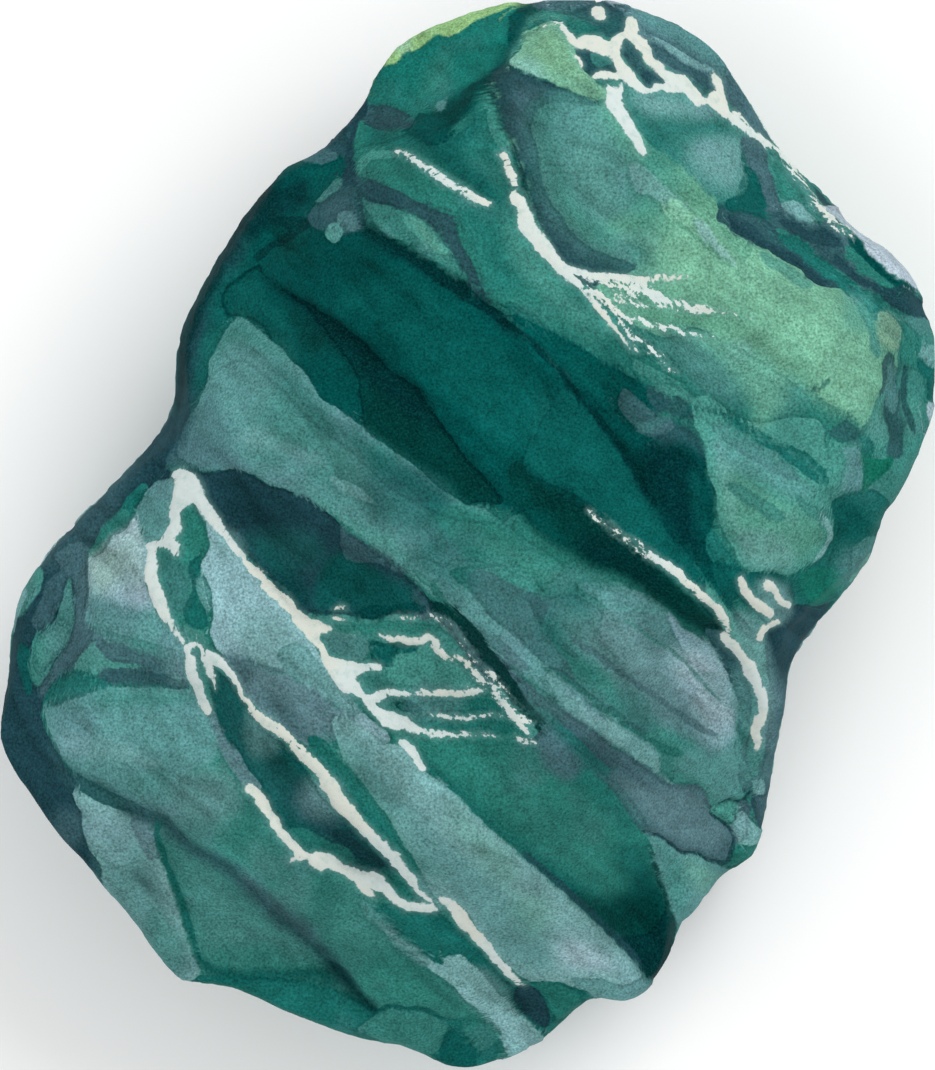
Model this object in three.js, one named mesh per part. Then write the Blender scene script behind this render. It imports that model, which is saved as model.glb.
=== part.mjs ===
// Raw jade stone: one natural, hand-sized lump of jade, lying on its flattest side.
//
// The stone is a single solid. Its widest line is the rim. Above the rim it is a dome cut by broken faces, and long
// fracture ledges cross the top, nearly parallel, from one shoulder to the other. Below the rim it tapers through
// more broken faces to one flat face, which it rests on.
//
// Frame: millimetres, +Z up, origin on the resting face under the middle of the stone, +Y along its longer side.
import * as THREE from "three";
import { ImprovedNoise } from "three/addons/math/ImprovedNoise.js";

const { smoothstep, degToRad, lerp } = THREE.MathUtils;

// Driving dimensions, in millimetres
const TOP_HEIGHT = 44; // height of the dome before its faces are broken off
const RIM_HEIGHT = 17; // mean height of the rim
const UNDER_DEPTH = 24; // how far below the rim the underside would swell if it had no flat
const TOP_POWER = 3.2; // how square the dome's shoulders are: 2 is an ellipse, more is blockier
const UNDER_POWER = 3.4; // the same, below the rim

// The rim rises and falls on its way round: each wave's number of crests, its size and its shift in radians.
const RIM_WAVES = [
  { crests: 1, size: 2.6, shift: 5.6 },
  { crests: 2, size: 1.8, shift: 0.6 },
  { crests: 3, size: 1.5, shift: 2 },
  { crests: 5, size: 0.9, shift: 1 },
  { crests: 8, size: 0.5, shift: 4 },
];
const RIM_FADE = 0.9; // share of the way out to the rim at which the ledges and roughness start to die out
const EVEN_STEP = degToRad(5); // the rim's small chips are evened out over this step, two each way, within
const EVEN_REACH = 0.72; // this share of the way out to the rim

// The rim seen from above, anticlockwise from +X, in millimetres.
const RIM = [
  [33.2, 2.2], [34.5, 3.9], [36.4, 8.2], [37.3, 13.5], [36.8, 16.4], [36.4, 17.8], [33.7, 21.8], [30, 24.8],
  [29.2, 26.4], [25.7, 29.6], [24, 32.2], [20.4, 37.5], [18.9, 39.1], [17.2, 40.3], [11.6, 42.4], [8.6, 42.8],
  [5.4, 42.7], [2.2, 42.2], [-1.2, 41.2], [-4, 39.8], [-6.1, 38], [-11.5, 30.6], [-14, 29.3], [-16.2, 27.3],
  [-21.2, 19.8], [-23.2, 15.4], [-23.3, 13], [-23.4, 11], [-24, 9.2], [-25.2, 7.4], [-27.2, 5.1], [-30.2, 1.9],
  [-34.8, -3.4], [-36.5, -8.4], [-36.7, -10.4], [-37.4, -15.8], [-36.9, -17.8], [-35.5, -20.1], [-29.3, -27.6],
  [-25.7, -32], [-23.6, -34.7], [-22.2, -35.6], [-20.2, -35.8], [-18.5, -36.2], [-14.2, -38.1], [-8.2, -40.2],
  [-5.6, -40.6], [-4.1, -41.1], [-2.6, -42.2], [-0.9, -42.8], [5.9, -40.2], [9.7, -37], [10.9, -36.7],
  [12.3, -37], [14, -36.3], [16, -34], [16.8, -31], [17.9, -30.3], [18.4, -29.3], [19.3, -28.2], [19.8, -27.4],
  [22.6, -25.4], [24.9, -14.5], [25.9, -9.8], [30.8, -3.4], [32.4, -1.2],
];

// Broad broken faces across the top: a plane through the point at, falling by tilt degrees toward a bearing.
const BROAD_FACES = [
  { at: [18, 22, 34.5], tilt: 13, toward: 38 }, // the scooped face of the right shoulder
  { at: [0, 11, 38.4], tilt: 4, toward: 200 }, // the middle
  { at: [-11, 5, 36.6], tilt: 12, toward: 185 }, // the left of the middle
  { at: [8, -14, 37.4], tilt: 9, toward: 290 }, // below the middle
  { at: [-4, -25, 34], tilt: 15, toward: 240 }, // the near end
  { at: [-25, -12, 31], tilt: 24, toward: 192 }, // the left end
  { at: [-4, 30, 33], tilt: 23, toward: 116 }, // the far left lobe
  { at: [16, -24, 33.4], tilt: 20, toward: 318 }, // the right of the near end
];

// Broken faces round the shoulders: each starts lift above the rim, where the stone reaches furthest toward a
// bearing, and rises inward by slope degrees.
const SHOULDER_FACES = [
  { toward: 2, slope: 66, lift: 3 },
  { toward: 24, slope: 50, lift: 6.5 },
  { toward: 46, slope: 58, lift: 1.2 },
  { toward: 64, slope: 48, lift: 4.5 },
  { toward: 88, slope: 62, lift: 2 },
  { toward: 112, slope: 52, lift: 5 },
  { toward: 131, slope: 60, lift: 0.8 },
  { toward: 150, slope: 49, lift: 4 },
  { toward: 168, slope: 62, lift: 7 },
  { toward: 190, slope: 47, lift: 1.5 },
  { toward: 216, slope: 57, lift: 4.5 },
  { toward: 238, slope: 44, lift: 1 },
  { toward: 262, slope: 56, lift: 5 },
  { toward: 286, slope: 49, lift: 1.8 },
  { toward: 306, slope: 63, lift: 6 },
  { toward: 328, slope: 53, lift: 2 },
  { toward: 345, slope: 70, lift: 8 },
];

// Broken faces under the rim: each starts lift below the rim and runs inward and down by slope degrees.
const UNDER_FACES = [
  { toward: 10, slope: 66, lift: 7 },
  { toward: 33, slope: 52, lift: 2.5 },
  { toward: 61, slope: 60, lift: 5 },
  { toward: 84, slope: 49, lift: 1.5 },
  { toward: 109, slope: 64, lift: 7 },
  { toward: 137, slope: 53, lift: 3 },
  { toward: 163, slope: 70, lift: 8 },
  { toward: 188, slope: 55, lift: 2 },
  { toward: 214, slope: 62, lift: 5.5 },
  { toward: 243, slope: 48, lift: 1.5 },
  { toward: 268, slope: 65, lift: 6.5 },
  { toward: 297, slope: 52, lift: 2.5 },
  { toward: 322, slope: 68, lift: 7 },
  { toward: 342, slope: 55, lift: 3.5 },
];

// Fracture ledges on the top. Each follows a path seen from above. Beside the path, on its low side, the surface
// drops within scarp millimetres and climbs back to the face it was broken from within reach millimetres.
const LEDGES = [
  // the crest round the right shoulder's scoop
  { path: [[2.6, 37], [3.6, 32.4], [5.4, 27.2], [8.6, 22.6], [11.8, 18.8], [15, 14.8], [18.6, 11.8], [23.4, 8.8]],
    low: "left", drop: 2.6, scarp: 2.8, reach: 17 },
  // the long ledge above the middle
  { path: [[-11, 25], [-6.2, 21.8], [-2.2, 19.6], [2.6, 17], [6.6, 13.6], [11.4, 9.2], [15.4, 5.2], [18.6, 1.2]],
    low: "right", drop: 1.7, scarp: 2.2, reach: 12 },
  // the trough below it
  { path: [[-15.8, 21.8], [-11, 19.2], [-6.2, 15.2], [-2.2, 11.2], [1, 7.2], [2.8, 3.6]],
    low: "right", drop: 1.3, scarp: 1.8, reach: 6.5 },
  // the ledge down to the right waist
  { path: [[9.8, 1.6], [13.8, -1.4], [17.8, -4.8], [20.6, -7.6], [22.6, -11.6], [23.2, -16.4]],
    low: "right", drop: 1.8, scarp: 2.6, reach: 9 },
  // the deep wedge left of the middle: its far wall, then its near wall
  { path: [[-21.4, 5.8], [-15, 2.8], [-9.4, 0.4], [-3.8, -1.6], [0.2, -5.2], [3.4, -10], [6.2, -16.4]],
    low: "right", drop: 2.4, scarp: 4, reach: 13 },
  { path: [[-22.4, 4.6], [-19, 0.4], [-15, -4.4], [-11, -8.8], [-7.8, -12.4], [-4.6, -16.8], [-1.4, -20.4]],
    low: "left", drop: 1.6, scarp: 2, reach: 8 },
  // the narrow lens-shaped groove near the left edge
  { path: [[-21.4, -9.2], [-18.2, -13.2], [-13.4, -17.6], [-8.6, -22.8], [-3.8, -28.4]],
    low: "right", drop: 1.6, scarp: 2, reach: 6 },
  { path: [[-17.4, -20.4], [-13.4, -25.2], [-9.4, -27.2], [-5.4, -29.2], [-3, -29.6], [1, -33.2], [4.6, -36.2]],
    low: "left", drop: 1, scarp: 1.7, reach: 4 },
  // the steep dark face between the near end and the right
  { path: [[-3.8, -18.8], [1, -23.2], [5.8, -27.6], [10.6, -32], [15, -36]],
    low: "left", drop: 2.4, scarp: 2.6, reach: 10 },
  // the ridges on the left end
  { path: [[-31.4, -18.8], [-27, -20.4], [-21.4, -22.4], [-16.6, -27.6], [-11, -32.8], [-5.4, -38]],
    low: "right", drop: 1.5, scarp: 2.2, reach: 9 },
  { path: [[-23.8, -24.4], [-22.8, -29.2], [-22, -35.2]], low: "right", drop: 1, scarp: 1.7, reach: 5 },
  { path: [[-31.4, -6.8], [-30.2, -10], [-33.4, -14.8]], low: "right", drop: 1, scarp: 1.7, reach: 5 },
  { path: [[-27, -7.6], [-23.8, -9.6], [-19, -11.6]], low: "right", drop: 0.9, scarp: 1.7, reach: 6 },
  // the small ledges on the far lobes
  { path: [[-9.4, 27.6], [-3.8, 26.4], [-1.4, 24.2], [0.6, 20.4], [2.2, 18]],
    low: "right", drop: 1, scarp: 1.6, reach: 4 },
  { path: [[5, 41.2], [4, 38], [-1, 34], [-5.4, 31.8], [-9, 31.2]], low: "right", drop: 1.1, scarp: 1.8, reach: 6 },
  // the ridge along the right rim
  { path: [[21.4, 26.4], [25.8, 24.4], [29.8, 21.2], [34.6, 17.2]], low: "left", drop: 1.3, scarp: 2.2, reach: 7 },
];
const LEDGE_FADE = 0.14; // share of a ledge's length over which it dies out at each end

// Grain: the stone splits along one direction, so its roughness is drawn out along GRAIN_BEARING.
const GRAIN_BEARING = degToRad(-42);
const LUMP_SIZE = 13;
const LUMP_DEPTH = 1.1;
const HACKLE_LENGTH = 15; // splintery steps: their length along the grain, then their width across it
const HACKLE_WIDTH = 4;
const HACKLE_DEPTH = 0.7;

// Hollows in the side, above and below the rim: their depth, their size round the stone and up it, and the height
// off the rim at which they have their full depth.
const HOLLOW_DEPTH = 1.6;
const HOLLOW_SIZE = 15;
const HOLLOW_HEIGHT = 8;
const HOLLOW_CLEAR = 4;
const HOLLOW_BIAS = 0.4; // how much of the side is hollow: -1 is none of it and 1 is all of it
const SIDE_REACH = 0.8; // share of the way out to the rim at which the side starts

// Mesh: a grid of cells along and across the grain on top, rings down the side, and a grid half as fine beneath.
const CELLS_ALONG = 40;
const CELLS_ACROSS = 60;
const TOP_GRID_REACH = 0.965; // share of the way to the rim that each grid covers
const UNDER_GRID_REACH = 0.93;
const SIDE_RINGS = [
  { reach: 0.986, below: false },
  { reach: 0.997, below: false },
  { reach: 0.9997, below: false },
  { reach: 1, below: false },
  { reach: 0.999, below: true },
  { reach: 0.992, below: true },
  { reach: 0.968, below: true },
];

const RIM_SAMPLES = 1440; // points on the smooth curve through the rim
const PATH_SAMPLES = 40; // pieces of the smooth curve along a ledge

const noise = new ImprovedNoise();

// ---- the rim ----

const rimCurve = new THREE.CatmullRomCurve3(RIM.map(([x, y]) => new THREE.Vector3(x, y, 0)), true, "centripetal");
const rimPoints = Array.from({ length: RIM_SAMPLES }, (_, i) => rimCurve.getPoint(i / RIM_SAMPLES));
const turn = (angle) => (angle + 4 * Math.PI) % (2 * Math.PI);
const rimPolar = rimPoints
  .map((p) => ({ angle: turn(Math.atan2(p.y, p.x)), radius: Math.hypot(p.x, p.y) }))
  .sort((a, b) => a.angle - b.angle);

// The distance from the middle to the rim at an angle.
function rimRadius(angle) {
  const wanted = turn(angle);
  let low = 0;
  let high = rimPolar.length;
  while (low < high) {
    const middle = (low + high) >> 1;
    if (rimPolar[middle].angle < wanted) low = middle + 1;
    else high = middle;
  }
  const after = rimPolar[low % rimPolar.length];
  const before = rimPolar[(low + rimPolar.length - 1) % rimPolar.length];
  const gap = turn(after.angle - before.angle) || 1;
  return lerp(before.radius, after.radius, turn(wanted - before.angle) / gap);
}

// The rim's radius with its small chips and notches evened out.
function evenRadius(angle) {
  const steps = [-2, -1, 0, 1, 2];
  return steps.reduce((sum, step) => sum + rimRadius(angle + step * EVEN_STEP), 0) / steps.length;
}

// The rim's height at an angle.
function rimHeight(angle) {
  return RIM_WAVES.reduce(
    (height, { crests, size, shift }) => height + size * Math.sin(crests * angle + shift),
    RIM_HEIGHT,
  );
}

// How far the rim reaches toward a bearing.
function rimReach(bearing) {
  return Math.max(...rimPoints.map((p) => p.x * Math.cos(bearing) + p.y * Math.sin(bearing)));
}

// ---- broken faces ----

function broadFace({ at, tilt, toward }) {
  const bearing = degToRad(toward);
  const fall = Math.tan(degToRad(tilt));
  return (x, y) => at[2] - fall * ((x - at[0]) * Math.cos(bearing) + (y - at[1]) * Math.sin(bearing));
}

// How far a face at the rim lies above or below it.
function edgeFace({ toward, slope, lift }) {
  const bearing = degToRad(toward);
  const climb = Math.tan(degToRad(slope));
  const reach = rimReach(bearing);
  return (x, y) => lift + climb * (reach - x * Math.cos(bearing) - y * Math.sin(bearing));
}

const broadFaces = BROAD_FACES.map(broadFace);
const shoulderFaces = SHOULDER_FACES.map(edgeFace);
const underFaces = UNDER_FACES.map(edgeFace);

// ---- ledges and grain ----

function smoothPath(path) {
  const curve = new THREE.CatmullRomCurve3(path.map(([x, y]) => new THREE.Vector3(x, y, 0)));
  return curve.getSpacedPoints(PATH_SAMPLES);
}

const ledges = LEDGES.map((ledge) => ({ ...ledge, path: smoothPath(ledge.path) }));

// Where a point is beside a path: its distance, the side it is on, and how far along, from 0 to 1.
function besidePath(x, y, path) {
  let best = { distance: Infinity };
  path.slice(1).forEach((end, i) => {
    const start = path[i];
    const along = { x: end.x - start.x, y: end.y - start.y };
    const from = { x: x - start.x, y: y - start.y };
    const passed = (from.x * along.x + from.y * along.y) / (along.x ** 2 + along.y ** 2);
    const t = Math.min(1, Math.max(0, passed));
    const distance = Math.hypot(from.x - t * along.x, from.y - t * along.y);
    if (distance < best.distance) {
      const side = along.x * from.y - along.y * from.x > 0 ? "left" : "right";
      best = { distance, side, share: (i + t) / (path.length - 1) };
    }
  });
  return best;
}

function ledgeDepth(x, y) {
  return ledges.reduce((depth, { path, low, drop, scarp, reach }) => {
    const { distance, side, share } = besidePath(x, y, path);
    if (side !== low || distance > reach) return depth;
    const ends = smoothstep(share, 0, LEDGE_FADE) * (1 - smoothstep(share, 1 - LEDGE_FADE, 1));
    return depth + drop * ends * smoothstep(distance, 0, scarp) * (1 - smoothstep(distance, scarp, reach));
  }, 0);
}

// How far the surface lies below its faces at a point: rounded lumps, and splintery steps along the grain.
function roughness(x, y, z) {
  const along = x * Math.cos(GRAIN_BEARING) + y * Math.sin(GRAIN_BEARING);
  const across = y * Math.cos(GRAIN_BEARING) - x * Math.sin(GRAIN_BEARING);
  const lumps = 0.5 + noise.noise(x / LUMP_SIZE, y / LUMP_SIZE, z / LUMP_SIZE + 5);
  const hackle = Math.abs(noise.noise(along / HACKLE_LENGTH, across / HACKLE_WIDTH, z / HACKLE_WIDTH / 3));
  return LUMP_DEPTH * lumps + HACKLE_DEPTH * hackle;
}

// ---- the surface ----

// The height of a swelling, from 1 in the middle to 0 at the rim, where it stands upright.
const swell = (share, power) => (1 - share ** power) ** (1 / power);

function topHeight(x, y, angle, share) {
  const rim = rimHeight(angle);
  const dome = (TOP_HEIGHT - rim) * swell(share, TOP_POWER);
  const shoulder = rim + Math.min(dome, ...shoulderFaces.map((face) => face(x, y)));
  const faced = Math.min(shoulder, ...broadFaces.map((face) => face(x, y)));
  const fromRim = 1 - smoothstep(share, RIM_FADE, 1);
  return Math.max(rim, faced - fromRim * (ledgeDepth(x, y) + roughness(x, y, faced)));
}

function underHeight(x, y, angle, share) {
  const bowl = UNDER_DEPTH * swell(share, UNDER_POWER);
  const faced = rimHeight(angle) - Math.min(bowl, ...underFaces.map((face) => face(x, y)));
  const fromRim = 1 - smoothstep(share, RIM_FADE, 1);
  return Math.max(0, faced + fromRim * roughness(x, y, faced));
}

// The distance from the middle to a share of the way out: the rim's small chips and notches stay close to the rim.
function radiusAt(angle, share) {
  return share * lerp(evenRadius(angle), rimRadius(angle), smoothstep(share, EVEN_REACH, 1));
}

// How far the side is hollowed at a point: not at all on the rim, so that the outline stays.
function hollowDepth(x, y, z, angle, share) {
  const fromRim = smoothstep(Math.abs(z - rimHeight(angle)), 0, HOLLOW_CLEAR);
  const hollow = Math.max(0, HOLLOW_BIAS + noise.noise(x / HOLLOW_SIZE + 3, y / HOLLOW_SIZE, z / HOLLOW_HEIGHT));
  return HOLLOW_DEPTH * hollow * fromRim * smoothstep(share, SIDE_REACH, TOP_GRID_REACH);
}

// A point of the surface, by its angle, its share of the way out to the rim, and whether it is below the rim.
function surfacePoint(angle, share, below) {
  const radius = radiusAt(angle, share);
  const x = radius * Math.cos(angle);
  const y = radius * Math.sin(angle);
  const z = (below ? underHeight : topHeight)(x, y, angle, share);
  const kept = 1 - hollowDepth(x, y, z, angle, share) / Math.max(radius, 1);
  return [x * kept, y * kept, z];
}

// A cell corner of a square grid, each way from -1 to 1, carried to a disc: its angle and share of the way out.
function onDisc(along, across) {
  const u = along * Math.sqrt(1 - across ** 2 / 2);
  const v = across * Math.sqrt(1 - along ** 2 / 2);
  return { angle: Math.atan2(v, u) + GRAIN_BEARING, share: Math.min(1, Math.hypot(u, v)) };
}

// ---- the mesh ----

const vertices = [];
const triangles = [];

function addVertex(point) {
  vertices.push(...point);
  return vertices.length / 3 - 1;
}

// Splits a quad along the diagonal that rises less, so that ridges and ledges stay crisp.
function addQuad(a, b, c, d) {
  const rise = (from, to) => Math.abs(vertices[from * 3 + 2] - vertices[to * 3 + 2]);
  if (rise(a, c) < rise(b, d)) triangles.push(a, b, c, a, c, d);
  else triangles.push(a, b, d, b, c, d);
}

// Adds one face of the stone as a grid, and returns the ring of vertices round its edge, anticlockwise from above.
function addGrid(cellsAlong, cellsAcross, reach, below) {
  const grid = Array.from({ length: cellsAcross + 1 }, (_, j) =>
    Array.from({ length: cellsAlong + 1 }, (_, i) => {
      const { angle, share } = onDisc((2 * i) / cellsAlong - 1, (2 * j) / cellsAcross - 1);
      return addVertex(surfacePoint(angle, share * reach, below));
    }),
  );
  for (let j = 0; j < cellsAcross; j++) {
    for (let i = 0; i < cellsAlong; i++) {
      const corners = [grid[j][i], grid[j][i + 1], grid[j + 1][i + 1], grid[j + 1][i]];
      addQuad(...(below ? corners.reverse() : corners));
    }
  }
  const near = grid[0].slice(0, -1);
  const right = grid.slice(0, -1).map((row) => row[cellsAlong]);
  const far = grid[cellsAcross].slice(1).reverse();
  const left = grid.slice(1).map((row) => row[0]).reverse();
  return [...near, ...right, ...far, ...left];
}

// Adds a ring of vertices round the side, at the angles of the ring above it.
function addRing(above, reach, below) {
  return above.map((vertex) => {
    const angle = Math.atan2(vertices[vertex * 3 + 1], vertices[vertex * 3]);
    return addVertex(surfacePoint(angle, reach, below));
  });
}

const topRing = addGrid(CELLS_ALONG, CELLS_ACROSS, TOP_GRID_REACH, false);
const lowestRing = SIDE_RINGS.reduce((above, { reach, below }) => {
  const ring = addRing(above, reach, below);
  ring.forEach((vertex, i) => {
    const next = (i + 1) % ring.length;
    addQuad(above[i], vertex, ring[next], above[next]);
  });
  return ring;
}, topRing);

// The underside's grid has half as many cells each way, so each of its edges meets two of the lowest ring's.
const underRing = addGrid(CELLS_ALONG / 2, CELLS_ACROSS / 2, UNDER_GRID_REACH, true);
underRing.forEach((vertex, i) => {
  const next = underRing[(i + 1) % underRing.length];
  const [first, middle, last] = [0, 1, 2].map((step) => lowestRing[(2 * i + step) % lowestRing.length]);
  triangles.push(vertex, middle, first, vertex, next, middle, next, last, middle);
});

const geometry = new THREE.BufferGeometry();
geometry.setAttribute("position", new THREE.Float32BufferAttribute(vertices, 3));
geometry.setIndex(triangles);
geometry.computeVertexNormals();

const jade = new THREE.MeshStandardMaterial({ color: 0x2f7466, roughness: 0.5, metalness: 0 });
const stone = new THREE.Mesh(geometry, jade);
stone.name = "jade_stone";

const group = new THREE.Group();
group.add(stone);
export default group;
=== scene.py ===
"""Dresses the raw jade stone: a lump of green jade with broken faces and pale veins.

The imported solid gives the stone's shape. Its surface is copied, rounded and refined here, then painted and
carved by the marks listed below. A mark's points are in percent of the solid's own box, as seen from above:
first along its width, which is x, then along its length, which is y. Comments call low x left, and low y
near or lower.
"""
from math import radians

import bmesh
import bpy
import numpy as np
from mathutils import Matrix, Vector


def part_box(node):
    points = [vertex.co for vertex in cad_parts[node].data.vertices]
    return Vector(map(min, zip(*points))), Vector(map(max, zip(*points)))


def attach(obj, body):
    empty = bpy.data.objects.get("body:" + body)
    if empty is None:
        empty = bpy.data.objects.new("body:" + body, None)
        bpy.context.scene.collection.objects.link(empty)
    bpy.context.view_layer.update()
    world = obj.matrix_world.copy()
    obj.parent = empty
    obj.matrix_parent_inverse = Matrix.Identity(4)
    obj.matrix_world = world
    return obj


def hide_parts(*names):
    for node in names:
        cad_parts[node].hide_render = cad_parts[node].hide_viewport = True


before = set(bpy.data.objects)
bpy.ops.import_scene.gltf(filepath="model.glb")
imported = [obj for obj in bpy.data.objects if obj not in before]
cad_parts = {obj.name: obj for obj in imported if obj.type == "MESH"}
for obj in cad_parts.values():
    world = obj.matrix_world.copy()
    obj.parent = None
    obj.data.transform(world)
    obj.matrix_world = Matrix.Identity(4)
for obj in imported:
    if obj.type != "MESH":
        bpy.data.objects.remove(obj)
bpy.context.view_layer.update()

NODE = "jade_stone"
MM = 0.001
low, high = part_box(NODE)
size = high - low
middle = (low + high) / 2


def placed(name, data):
    """A new object with that data, in the scene."""
    thing = bpy.data.objects.new(name, data)
    bpy.context.scene.collection.objects.link(thing)
    return thing


# ---- camera: straight above, as far off as a long lens asks ----

SENSOR = 36  # along the picture's longer side, in millimetres as the lens is
LENS = 1000
MARGIN = 1.0015  # how much more than the stone's length is seen
SEEN_LENGTH = size.y * MARGIN  # the picture's height, at the height of the rim
RIM_HEIGHT = 17 * MM
CLIP_NEAR, CLIP_FAR = 0.01, 20


def add_camera():
    camera = placed("camera", bpy.data.cameras.new("camera"))
    camera.data.sensor_width = SENSOR
    camera.data.lens = LENS
    camera.location = (middle.x, middle.y, RIM_HEIGHT + SEEN_LENGTH * LENS / SENSOR)
    camera.data.clip_start = CLIP_NEAR
    camera.data.clip_end = CLIP_FAR
    bpy.context.scene.camera = camera


add_camera()
bpy.context.scene.view_settings.view_transform = "Standard"

# ---- the marks ----

PALETTE = {
    "night": "#052a2d", "pine": "#02332f", "fir": "#024945", "deep": "#0d5751", "teal": "#1d6b62",
    "jade": "#2c7669", "sea": "#3d8075", "moss": "#4b9183", "mist": "#5b918c", "haze": "#7aa8a4",
    "frost": "#8bb2b3", "leaf": "#79b292", "lime": "#93be7d", "fern": "#5f9c80", "navy": "#23434b",
    "slate": "#2f5458", "steel": "#48696e", "pewter": "#608285", "lavender": "#809fa6", "cream": "#d8e2d9",
    "pearl": "#b4c3c9", "grass": "#127259", "olive": "#7a9f83", "reed": "#1a7467", "ivory": "#dcdfcf",
}


def read_marks(text):
    """Each mark's own values, then the list of its points.

    A mark starts at the margin and runs on over the indented lines below it. A line with # says what the
    marks after it are for.
    """
    rows = []
    for line in text.splitlines():
        if line.startswith(" "):
            rows[-1] += line
        elif line and not line.startswith("#"):
            rows.append(line)
    marks = []
    for row in rows:
        words = row.split()
        points = [[float(part) for part in word.split(",")] for word in words if "," in word]
        values = [word if word.isalpha() else float(word) for word in words if "," not in word]
        marks.append((*values, points))
    return marks
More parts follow.
